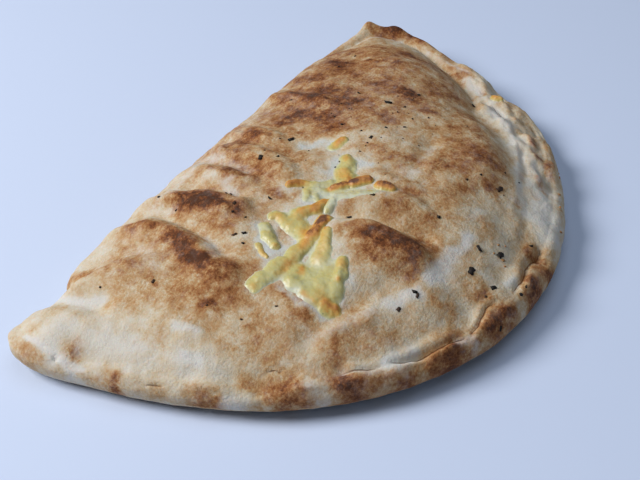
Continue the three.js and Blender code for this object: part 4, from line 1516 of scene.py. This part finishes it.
    def _bake(self, points: Array) -> dict[str, Array]:
        """Works out how baked, floury and damp each corner is, and how near to a slit.

        Formula: the tone of the region, plus the patches, plus what stands proud, which browns first,
        plus three sizes of random blotches. Flour and damp dough hold the browning back.

        Args:
            points: Corners in mm, one row each.

        Returns:
            A level from 0 to 1 for each corner, under each level's name.
        """
        grain, height = self.form.grain, points[:, 2]
        broad = grain.layered(points, 34.0, shift=97.0)
        blotches = grain.layered(points, 9.0, shift=53.0)
        ragged = grain.layered(points, 4.5, shift=211.0)
        places = grain.pushed(points, 8.0, 3, self.wander, (131.0, 173.0))
        upper = ease((height - 2.5) / 5.0)
        under = 1.0 - ease((height - 0.6) / 2.0)
        proud = clamp01(self.form.folded(self.form.wandered(points)) / 4.0)
        crumples = ease((self.form.crumpled(points[:, :2]) - 0.25) / 0.9)
        tone = covered(self.TONES, places, 0.3 * broad)
        lines = covered(self.LINES, points[:, :2], 0.6 * ragged)
        flour = 1.0 - (1.0 - covered(self.FLOURY, places, ragged)) * (1.0 - lines)
        damp = covered(self.DAMP + self.halos, places, ragged)
        patch = self._brown(points, places, ragged) * (1.0 + 0.35 * blotches)
        bake = self.base_bake + self.tone_bake * tone + self.proud_bake * proud
        bake += (self.patch_bake - self.patch_less_on_tone * tone) * patch + self.crumple_bake * crumples
        bake += (0.04 + 0.15 * tone) * blotches + 0.04 * broad + 0.03 * ragged
        bake -= self.flour_hold * flour + self.damp_hold * damp
        bake = mix(self.side_bake + 0.12 * blotches, bake, upper)
        spots = ease((grain.layered(points, 15.0, 4, shift=41.0) - 0.05) / 0.5)
        dusty = 0.13 + 0.14 * grain.layered(points, 26.0, shift=17.0)
        slit, side = self.form.slits(points)
        return {
            "bake": mix(bake, self.under_bake + self.under_spots * spots, under),
            "flour": np.maximum(flour * upper, dusty) + self.under_flour * under,
            "damp": damp * upper,
            "slit": slit * upper,
            "slit_side": 0.5 + 0.5 * side,
        }

    def build(self) -> Piece:
        """Builds and dresses the crust.

        Returns:
            The finished piece.
        """
        points, faces = close_rings(self._upper_rings() + self._under_rings())
        points = self._roughen_edge(points)
        piece = put_mesh("folded_crust", points, faces)
        for name, levels in self._bake(points).items():
            paint(piece, name, levels)
        piece.data.materials.append(self.finish.material())
        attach(piece, BODY)
        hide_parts("crust")
        return piece


# --- the cheese


def close_slab(keep: Array, top: Array, bottom: Array) -> tuple[Array, Array]:
    """Closes two sheets over the kept cells of a grid into one body.

    Args:
        keep: Whether each cell of the grid is kept, as rows by columns.
        top: Places of the upper sheet's corners, as rows by columns by three.
        bottom: Places of the lower sheet's corners.

    Returns:
        The corners, and triangles as rows of corner numbers.
    """
    first, last, left, right = keep[:-1, :-1], keep[1:, 1:], keep[1:, :-1], keep[:-1, 1:]
    for _ in range(3):  # cells that touch at one corner alone get their neighbours too
        touching = (left & right & ~(first & last)) | (first & last & ~(left & right))
        for part in (first, last, left, right):
            part |= touching
    wide = top.shape[1]
    row, column = np.nonzero(keep)
    corner = row * wide + column
    quads = np.column_stack([corner, corner + 1, corner + 1 + wide, corner + wide])
    used, quads = np.unique(quads, return_inverse=True)
    quads = quads.reshape(-1, 4)
    count = len(used)
    edges = np.vstack([quads[:, [side, (side + 1) % 4]] for side in range(4)])
    keys, opposite = edges @ [count, 1], edges @ [1, count]
    start, end = edges[~np.isin(keys, opposite)].T
    sheet = np.vstack([quads[:, [0, 1, 2]], quads[:, [0, 2, 3]]])
    faces = [sheet, sheet[:, ::-1] + count]
    faces.append(np.column_stack([end, start, start + count]))
    faces.append(np.column_stack([end, start + count, end + count]))
    points = np.vstack([top.reshape(-1, 3)[used], bottom.reshape(-1, 3)[used]])
    return points, np.vstack(faces)


@dataclass(frozen=True)
class Shred:
    """A shred of cheese, by how far it has run and its line's x, y, width and height in mm."""

    melt: float  # 0 keeps a round back, 1 has run out flat
    points: tuple[tuple[float, float, float, float], ...]

    STEP = 0.5
    FEWEST_STEPS = 6
    SKIRT = 0.4  # slope at which the cheese goes on down below the dough
    ROUND_POWER = 0.5
    FLAT_POWER = 1.5
    HALO_STRENGTH = 0.32
    HALO_WIDTH = 1.6

    def line(self) -> Array:
        """Samples the path.

        Formula: a spline through the corners, left out within nearly half a width of either end, which
        the round end of the section fills.

        Returns:
            Rows of x, y, width and height in mm.
        """
        table = np.array(self.points, float)
        ends = np.vstack([2 * table[0] - table[1], table, 2 * table[-1] - table[-2]])
        length = np.hypot(*np.diff(table[:, :2], axis=0).T).sum()
        t = np.linspace(0.0, len(table) - 1.0, max(int(length / self.STEP), self.FEWEST_STEPS))
        first = np.minimum(t.astype(int), len(table) - 2)
        line = spline([ends[first + shift] for shift in range(4)], (t - first)[:, None])
        run = np.concatenate([[0.0], np.cumsum(np.hypot(*np.diff(line[:, :2], axis=0).T))])
        inset = np.minimum(0.42 * line[[0, -1], 2], 0.4 * run[-1])
        return line[(run >= inset[0]) & (run <= run[-1] - inset[1])]

    def thickness(self, places: Array) -> Array:
        """Works out how far the cheese stands above the dough.

        Formula: the height times one less the square of the distance over the half-width, to a power
        that rises from a half where the back is round to 1.5 where it has run flat. Beyond the edge
        the cheese slopes on down below the dough.

        Args:
            places: Places in mm, one a row.

        Returns:
            A thickness in mm for each place, negative beyond the edge.
        """
        line = self.line()
        gaps = np.hypot(places[:, 0, None] - line[:, 0], places[:, 1, None] - line[:, 1])
        shares = gaps / (0.5 * line[:, 2])
        nearest = np.argmin(shares, axis=1)
        share = shares[np.arange(len(places)), nearest]
        width, height = line[nearest, 2], line[nearest, 3]
        back = clamp01(1.0 - share**2) ** mix(self.ROUND_POWER, self.FLAT_POWER, self.melt)
        return height * back - np.maximum(share - 1.0, 0.0) * 0.5 * width * self.SKIRT

    def halo(self) -> Patch:
        """Returns the pale damp ring that the cheese leaves on the dough round itself."""
        width = max(point[2] for point in self.points)
        path = tuple(point[:2] for point in self.points)
        return Patch(self.HALO_STRENGTH, 0.5 * width + self.HALO_WIDTH, path)


@dataclass
class MeltedCheese:
    """Shreds that have run together over the dough, with golden and creamy parts."""

    name: str
    nodes: tuple[str, ...]
    shreds: tuple[Shred, ...]
    toasts: tuple[Patch, ...] = ()
    creams: tuple[Patch, ...] = ()
    seed: int = 3
    base_toast: float = 0.12
    crest_toast: float = 0.06
    shade_toast: float = 0.6  # share of a golden patch that shows in the hollows
    edge_cream: float = 0.75
    wander: float = 0.75
    lump: float = 0.22
    small_lump: float = 0.12
    fillet: float = 1.1
    cell: float = 0.34
    rim_depth: float = 0.9
    body_depth: float = 1.8

    def _thickness(self, places: Array, grain: GrainField) -> Array:
        """Works out the thickness of the run-together shreds.

        Formula: the smooth maximum of all the shreds over places that are pushed about at random, plus
        lumps and small blisters.

        Args:
            places: Places in mm, one a row.
            grain: Random waves.

        Returns:
            A thickness in mm for each place, negative beyond the edge.
        """
        flat = on_floor(places)
        pushed = grain.pushed(flat, 3.6, 3, self.wander, (61.0, 83.0))
        total = self.shreds[0].thickness(pushed)
        for shred in self.shreds[1:]:
            total = smooth_max(total, shred.thickness(pushed), self.fillet)
        lumps = self.lump * grain.layered(flat, 4.0, 2, shift=9.0)
        lumps += self.small_lump * grain.layered(flat, 1.7, 2)
        return total + lumps * ease(0.5 + total)

    def build(self, form: DoughForm, material: Material) -> Piece:
        """Builds and dresses the cheese.

        Args:
            form: The dough that it lies on.
            material: The cheese's material.

        Returns:
            The finished piece.
        """
        corners = np.vstack([shred.points for shred in self.shreds])
        margin = corners[:, 2].max()
        low, high = corners[:, :2].min(0) - margin, corners[:, :2].max(0) + margin
        x, y = (np.arange(low[axis], high[axis], self.cell) for axis in (0, 1))
        places = np.stack(np.meshgrid(x, y), axis=-1)
        flat = places.reshape(-1, 2)
        grain = GrainField(self.seed)
        thickness = self._thickness(flat, grain)
        level = form.surface(flat)
        shape = places.shape[:2]
        top, bottom = level + np.maximum(thickness, -self.rim_depth), level - self.body_depth
        sheets = [np.dstack([places, height.reshape(shape)]) for height in (top, bottom)]
        inside = (thickness > -self.rim_depth).reshape(shape)
        keep = inside[:-1, :-1] & inside[1:, :-1] & inside[:-1, 1:] & inside[1:, 1:]
        points, faces = close_slab(keep, *sheets)
        piece = put_mesh(self.name, points, faces)
        ragged = grain.layered(points, 3.0)
        above = points[:, 2] - form.surface(points[:, :2])
        crest = ease((above - 0.3) / 1.5)
        toast = covered(self.toasts, points[:, :2], ragged) * mix(self.shade_toast, 1.0, crest)
        cream = covered(self.creams, points[:, :2], ragged)
        paint(piece, "toast", self.base_toast + 0.06 * ragged + self.crest_toast * crest + toast)
        paint(piece, "cream", cream + self.edge_cream * (1.0 - ease(above / 0.9)))
        piece.data.materials.append(material)
        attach(piece, BODY)
        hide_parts(*self.nodes)
        return piece


def cheese_pieces() -> tuple[MeltedCheese, ...]:
    """Describes the melted masses and the single shreds, in mm.

    Returns:
        The pieces, the two masses first.
    """
    upper = MeltedCheese(
        name="melted_cheese_crown",
        nodes=(
            "cheese_mound", "cheese_column", "cheese_arm_shred", "cheese_browned_shred",
            "cheese_nugget", "cheese_pale_lace", "cheese_pale_base", "cheese_pale_strip",
        ),
        shreds=(
            Shred(0.5, (
                (-29, 22, 4.6, 1.9), (-24, 17, 5, 1.7), (-21, 12, 5, 1.2), (-18, 8, 5.5, 1.1),
                (-12, 5, 7, 1.1),
            )),
            Shred(0.8, ((-3, 8, 8, 1.5), (-8, 3, 11, 1.9), (-14, -1, 10, 1.5))),
            Shred(0.7, ((4, 11, 6, 1.1), (0, 7, 7, 1.5), (-5, 4, 8, 1.5))),
            Shred(0.9, ((-18, 4, 9, 1.0), (-21, -3, 10, 1.2), (-18, -9, 9, 1.2), (-14, -17, 6, 0.8))),
            Shred(0.6, ((-20, -1, 6.5, 1.1), (-28, -2, 6, 1.6), (-34, -4, 4.0, 1.0))),
            Shred(0.2, ((-20, 4, 4.0, 2.0), (-17, 1, 5.2, 2.5), (-13, -2, 4.6, 2.2))),
            Shred(0.2, ((-14, -2, 5.0, 2.4), (-10, -5, 6.4, 3.0), (-6, -10, 5.0, 2.3))),
            Shred(0.2, ((-8, -13, 5.0, 1.8), (-8, -17, 6.4, 2.6), (-7, -22, 5.0, 1.8))),
            Shred(0.8, ((-33, 8, 4, 0.8), (-26, 11, 6.5, 1.3), (-23, 7, 6, 1.0), (-22, 2, 6, 0.9))),
            Shred(0.9, ((-25, 8, 5, 0.9), (-31, 3, 4, 0.8))),
        ),
        toasts=patches(
            (0.62, 3.6, -30, 22, -25, 17), (0.42, 4.4, -8, 5), (0.34, 2.6, 2, 9), (0.8, 1.9, -20, 4, -17, 2),
            (0.62, 2, -16, 1, -12, -3), (0.66, 2.6, -12, -3, -7, -9), (0.8, 3.4, -8, -15, -7, -20),
            (0.34, 1.8, -27, 9), (0.45, 1.6, -15, -14), (0.35, 1.2, -31, 3),
        ),
        creams=patches(
            (0.7, 5, -22, -5, -16, -11), (0.9, 4, -30, -4, -24, -2), (0.6, 5, -26, 7),
            (0.35, 3.5, -20, 10, -15, 7),
        ),
        seed=5,
    )
    lower = MeltedCheese(
        name="melted_cheese_pool",
        nodes=(
            "cheese_long_shred", "cheese_golden_shred", "cheese_web", "cheese_left_shred",
            "cheese_middle_shred", "cheese_right_shred", "cheese_melted_pool", "cheese_golden_end",
        ),
        shreds=(
            Shred(0.6, ((-27, 0, 5.5, 1.6), (-32, 1, 7, 2.0), (-38, 4, 7, 1.7), (-42, 7, 5, 1.2))),
            Shred(0.9, ((-40, 8, 6, 1.0), (-46, 5, 10, 1.2), (-50, -1, 9, 1.1), (-54, -6, 6, 0.9))),
            Shred(0.7, ((-50, 16, 4.0, 1.1), (-46, 14, 6, 1.4), (-49, 7, 6.5, 1.3), (-49, 2, 7, 1.2))),
            Shred(0.45, (
                (-35, -6, 7.4, 2.4), (-40, -6, 7.8, 2.7), (-46, -7, 6.2, 2.2), (-51, -7, 7.6, 2.2),
                (-57, -7, 6.4, 1.7), (-62, -6, 9, 1.9), (-67, -6, 7.6, 1.6), (-72, -4, 9.8, 1.8),
                (-78, -4, 8, 1.4), (-82, -2, 9, 1.6), (-88, -1, 6.6, 1.1),
            )),
            Shred(0.7, (
                (-45, -11, 4.2, 1.4), (-51, -14, 6, 1.7), (-58, -16, 9, 1.5), (-63, -19, 9.5, 1.1),
            )),
            Shred(0.6, (
                (-55, -25, 4.5, 1.5), (-61, -28, 7, 1.9), (-67, -30, 7.6, 1.7), (-74, -32, 8, 1.3),
            )),
            Shred(0.9, ((-71, -9, 8, 1.3), (-69, -15, 11, 1.2), (-71, -23, 12, 1.1), (-74, -30, 10, 1.2))),
            Shred(0.8, ((-75, -10, 7, 1.4), (-76, -18, 9, 1.3), (-77, -25, 8, 1.2), (-78, -30, 7, 1.3))),
            Shred(1.0, ((-61, -18, 9, 0.8), (-66, -25, 11, 0.9), (-70, -29, 9, 1.0))),
            Shred(0.5, ((-77, -29, 7.0, 1.5), (-78, -33, 7.5, 2.0), (-75, -37, 6.0, 1.4))),
        ),
        toasts=patches(
            (0.7, 4.6, -35, -6, -43, -6), (0.62, 4, -43, -6, -50, -7), (0.42, 3.8, -51, -7, -58, -7),
            (0.34, 2.6, -87, -2), (0.34, 2, -72, -8, -69, -7), (0.62, 4.2, -30, 1, -35, 2),
            (0.42, 3.4, -41, 6), (0.34, 3.6, -48, 13), (0.36, 2, -52, -2), (0.52, 2, -70, -14, -67, -13),
            (0.6, 3.6, -77, -33, -76, -36), (0.4, 3.6, -76, -28), (0.22, 4, -50, -13, -58, -16),
            (0.42, 1.2, -66, -30), (0.42, 1.6, -81, -28, -79, -21), (0.28, 2.6, -58, -27),
            (0.3, 1.6, -76, -7, -66, -8),
        ),
        creams=patches(
            (0.75, 2.6, -79, -16, -80, -22, -82, -27), (0.3, 3, -80, -6), (0.5, 4, -62, -18, -57, -14),
            (0.3, 4, -72, -20),
        ),
        seed=8,
    )
    lone = MeltedCheese(
        name="melted_shred_lone",
        nodes=("cheese_lone_shred",),
        shreds=(Shred(0.5, ((-54, 17, 5.0, 1.4), (-59, 10, 6.4, 2.0), (-64, 2, 4.8, 1.7))),),
        toasts=patches((0.3, 2.0, -64, 2)),
        creams=patches((0.6, 5.0, -57, 13)),
        seed=11,
    )
    small = MeltedCheese(
        name="melted_shred_small",
        nodes=("cheese_small_shred",),
        shreds=(Shred(0.6, ((-65, 11, 2.4, 0.6), (-69, 6, 3.2, 0.9), (-71, 2, 2.4, 0.6))),),
        toasts=patches((0.55, 5.0, -69, 6)),
        seed=13,
    )
    nub = MeltedCheese(
        name="melted_shred_nub",
        nodes=("cheese_top_nub",),
        shreds=(Shred(0.5, ((7, 22, 5.0, 0.8), (11, 20, 7.6, 1.6), (16, 19, 5.6, 2.2))),),
        toasts=patches((0.5, 4.0, 11, 20), (0.3, 3.0, 15, 19)),
        creams=patches((0.4, 2.6, 6, 22)),
        seed=17,
    )
    rim_bit = MeltedCheese(
        name="melted_crumb_on_lip",
        nodes=("cheese_rim_bit",),
        shreds=(Shred(0.4, ((120, -5, 3.6, 1.4), (118, -9, 5.4, 2.4), (118, -13, 3.6, 1.6))),),
        toasts=patches((0.45, 5.0, 118, -9), (0.4, 1.6, 120, -5)),
        seed=19,
    )
    return upper, lower, lone, small, nub, rim_bit


# --- herb flakes


@dataclass
class HerbFlakes:
    """Dried herb flakes and toasted crumbs, each a thin uneven chip pressed into the crust."""

    form: DoughForm
    finish: HerbFinish = field(default_factory=HerbFinish)
    corners: int = 9
    swell: float = 1.3
    count: int = 34
    middle: Pair = (30.0, 14.0)
    reach: Pair = (40.0, 34.0)
    strewn_lengths: Pair = (0.6, 1.3)
    strewn_shades: tuple[float, ...] = (0.0, 0.1, 0.45)
    radii: Pair = (0.76, 1.06)  # shares of half the length
    slimness: Pair = (0.5, 0.95)
    curl: float = 0.16
    thickness: float = 0.14  # share of the length, on top of the least
    least_thickness: float = 0.18
    lift: float = 0.12
    seed: int = 23

    # Place, length and kind of the flakes that stand out.
    PLACED = {
        Crumb.HERB: (
            (-9, -45, 2.2), (-10, -66, 3.2), (-4, -73, 3.6), (-23, -69, 3.4), (-50, -57, 3), (-22, -79, 3),
            (-10, -89, 1.4), (-15, -89, 1.6), (-35, -90, 2.2), (15, -79, 2), (105, -2, 2.4), (30, -45, 1.3),
            (48, -56, 1.2), (74, 13, 2), (55, 19, 3.6), (57, 11, 1.6), (21, 8, 2.4), (101, 67, 1.3),
            (57, 37, 1.8), (26, 27, 1.6), (24, 15, 1.4), (33, 7, 1.5), (40, 1, 1.4), (49, 2, 1.4),
            (-80, -33, 2.6), (39, 65, 1.4), (5, 42, 3.8), (-18, 43, 2.6), (-14, 36, 1.4), (-39, 23, 2),
            (-31, -13, 2.2), (-56, 24, 1.3), (-64, 19, 2), (-69, 16, 1.4), (-63, 57, 1.2), (-59, 70, 1.4),
            (-115, 57, 1.3), (82, 65, 1.4), (-57, 30, 1.2),
        ),
        Crumb.TOASTED: (
            (-5, -75, 1.8), (0, -70, 1.2), (-6, -71, 1), (-7, -77, 1.1), (3, -72, 1.1), (77, -64, 1.4),
            (64, -70, 1.6), (52, -76, 1.5), (38, -83, 1.6), (88, -59, 1.3),
        ),
        Crumb.CHARRED: (
            (-51, -59, 2.4), (-28, -79, 1.4), (45, -50, 1.3), (31, -54, 3.8), (-101, -6, 1.2),
            (-89, -15, 1.3), (-61, -56, 2), (-18, -17, 2.2), (-67, 22, 2.2), (-53, 32, 2.2), (-104, 37, 2.2),
            (-104, 9, 1.2), (22, -42, 1.4), (30, -57, 1), (-12, 45, 1), (2, 46, 1), (-25, 15, 1),
            (-27, 12, 1.8), (-45, 40, 1.3), (-47, 41, 1.2),
        ),
    }

    def _places(self) -> tuple[Array, Array, Array]:
        """Lists all flakes, the placed ones first.

        Returns:
            Where they lie, how long they are and how dark.
        """
        placed = np.array([row for rows in self.PLACED.values() for row in rows], float)
        shades = np.array([kind.value for kind, rows in self.PLACED.items() for _ in rows])
        draw = np.random.default_rng(self.seed)
        strewn = np.array(self.middle) + draw.uniform(-1.0, 1.0, (self.count, 2)) * self.reach
        lengths = draw.uniform(*self.strewn_lengths, self.count)
        places = np.vstack([placed[:, :2], strewn])
        sizes = np.concatenate([placed[:, 2] * self.swell, lengths])
        return places, sizes, np.concatenate([shades, draw.choice(self.strewn_shades, self.count)])

    def _chips(self, places: Array, sizes: Array) -> Array:
        """Works out the corners of the flakes.

        Formula: a flake is two shallow cones on one uneven outline, whose corners lie on an ellipse
        with random radii. It is turned by a random angle and laid on the slope of the dough.

        Args:
            places: Where each flake lies, in mm.
            sizes: How long each flake is, in mm.

        Returns:
            For each flake its outline's corners, its top and its bottom, in mm.
        """
        draw = np.random.default_rng(self.seed + 1)
        count, corners = len(places), self.corners
        turn = 2.0 * np.pi * np.arange(corners) / corners
        radii = draw.uniform(*self.radii, (count, corners)) * sizes[:, None] / 2.0
        slim = draw.uniform(*self.slimness, (count, 1))
        flat = np.stack([radii * np.cos(turn), radii * slim * np.sin(turn)], axis=-1)
        curl = self.curl * sizes[:, None] * np.cos(2.0 * turn + draw.uniform(0, 6.28, (count, 1)))
        spin = draw.uniform(0.0, 2.0 * np.pi, count)
        normal = self.form.slope(places)
        along = np.column_stack([np.cos(spin), np.sin(spin), np.zeros(count)])
        along -= np.sum(along * normal, axis=1, keepdims=True) * normal
        along /= np.linalg.norm(along, axis=1, keepdims=True)
        across = np.cross(normal, along)
        middle = np.column_stack([places, self.form.surface(places)]) + self.lift * normal
        edge = middle[:, None] + flat[..., :1] * along[:, None] + flat[..., 1:] * across[:, None]
        edge = edge + curl[..., None] * normal[:, None]
        thick = (self.thickness * sizes + self.least_thickness)[:, None] * normal
        return np.concatenate([edge, (middle + thick)[:, None], (middle - thick)[:, None]], axis=1)

    def _faces(self, count: int) -> Array:
        """Joins the corners of the flakes by a fan above and a fan below on each.

        Args:
            count: Number of flakes.

        Returns:
            Triangles as rows of corner numbers.
        """
        j = np.arange(self.corners)
        after = (j + 1) % self.corners
        top, bottom = np.full(self.corners, self.corners), np.full(self.corners, self.corners + 1)
        one = np.vstack([np.column_stack([j, after, top]), np.column_stack([after, j, bottom])])
        firsts = np.arange(count) * (self.corners + 2)
        return (one[None] + firsts[:, None, None]).reshape(-1, 3)

    def build(self) -> Piece:
        """Builds and dresses all flakes as one mesh.

        Returns:
            The finished piece.
        """
        places, sizes, shades = self._places()
        points = self._chips(places, sizes)
        piece = put_mesh("herb_flakes", points.reshape(-1, 3), self._faces(len(places)))
        paint(piece, "shade", np.repeat(shades, points.shape[1]))
        piece.data.materials.append(self.finish.material())
        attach(piece, BODY)
        return piece


# --- studio


@dataclass
class Studio:
    """A pale floor, soft daylight from one side and the camera, in metres and degrees."""

    floor_size: float = 8.0
    azimuth: float = -55.8
    elevation: float = 37.75
    roll: float = -1.24
    camera_place: tuple[float, float, float] = (-0.41013, -0.25533, 0.37453)
    lens: float = 73.125
    sky: Colour = (0.72, 0.84, 1.0)
    sky_strength: float = 0.13

    # Name, place, size, power in watts and colour of each soft lamp. All of them face the dough.
    LAMPS = (
        ("window", (-0.78, 0.96, 1.12), 0.9, 29.0, (1.0, 0.985, 0.97)),
        ("ceiling", (0.2, -0.1, 1.9), 1.8, 9.5, (0.80, 0.89, 1.0)),
    )

    def _floor(self) -> None:
        """Lays the floor just under the dough."""
        half = self.floor_size / 2.0 / MM
        corners = np.array([[-half, -half, 0], [half, -half, 0], [half, half, 0], [-half, half, 0]])
        floor = put_mesh("floor", corners, np.array([[0, 1, 2], [0, 2, 3]]))
        floor.data.materials.append(FloorFinish().material())

    def _lamps(self) -> None:
        """Hangs the soft lamps, turned towards the middle of the dough."""
        for name, place, size, power, colour in self.LAMPS:
            light = bpy.data.lights.new(name, "AREA")
            light.shape = "DISK"
            light.size = size
            light.energy = power
            light.color = colour
            lamp = bpy.data.objects.new(name, light)
            lamp.location = place
            lamp.rotation_euler = (-Vector(place)).to_track_quat("-Z", "Y").to_euler()
            bpy.context.scene.collection.objects.link(lamp)

    def _sky(self) -> None:
        """Sets the even light that comes from all round."""
        world = bpy.data.worlds.new("daylight")
        world.use_nodes = True
        background = world.node_tree.nodes["Background"]
        background.inputs["Color"].default_value = (*self.sky, 1.0)
        background.inputs["Strength"].default_value = self.sky_strength
        bpy.context.scene.world = world

    def _camera(self) -> None:
        """Sets the camera up from its azimuth, elevation and roll."""
        side, up, roll = (math.radians(v) for v in (self.azimuth, self.elevation, self.roll))
        back = Vector((math.sin(side) * math.cos(up), -math.cos(side) * math.cos(up), math.sin(up)))
        level = Vector((math.cos(side), math.sin(side), 0.0))
        upright = back.cross(level)
        right = level * math.cos(roll) + upright * math.sin(roll)
        top = upright * math.cos(roll) - level * math.sin(roll)
        camera = bpy.data.objects.new("camera", bpy.data.cameras.new("camera"))
        camera.data.lens = self.lens
        camera.data.sensor_width = 36.0
        axes = Matrix((right, top, back)).transposed().to_4x4()
        camera.matrix_world = Matrix.Translation(self.camera_place) @ axes
        bpy.context.scene.collection.objects.link(camera)
        bpy.context.scene.camera = camera

    def build(self) -> None:
        """Builds the studio."""
        bpy.context.scene.view_settings.view_transform = "Standard"
        self._camera()
        self._floor()
        self._lamps()
        self._sky()


def report(piece: Piece) -> None:
    """Logs a finished piece with its triangle count."""
    LOG.info("%s: %d triangles", piece.name, len(piece.data.polygons))


def main() -> None:
    """Builds the studio and the calzone."""
    logging.basicConfig(level=logging.INFO, format="%(message)s")
    Studio().build()
    form = DoughForm()
    cheeses = cheese_pieces()
    halos = tuple(shred.halo() for melted in cheeses for shred in melted.shreds)
    report(Crust(form, halos=halos).build())
    cheese = CheeseFinish().material()
    for melted in cheeses:
        report(melted.build(form, cheese))
    report(HerbFlakes(form).build())


if __name__ == "__main__":
    main()
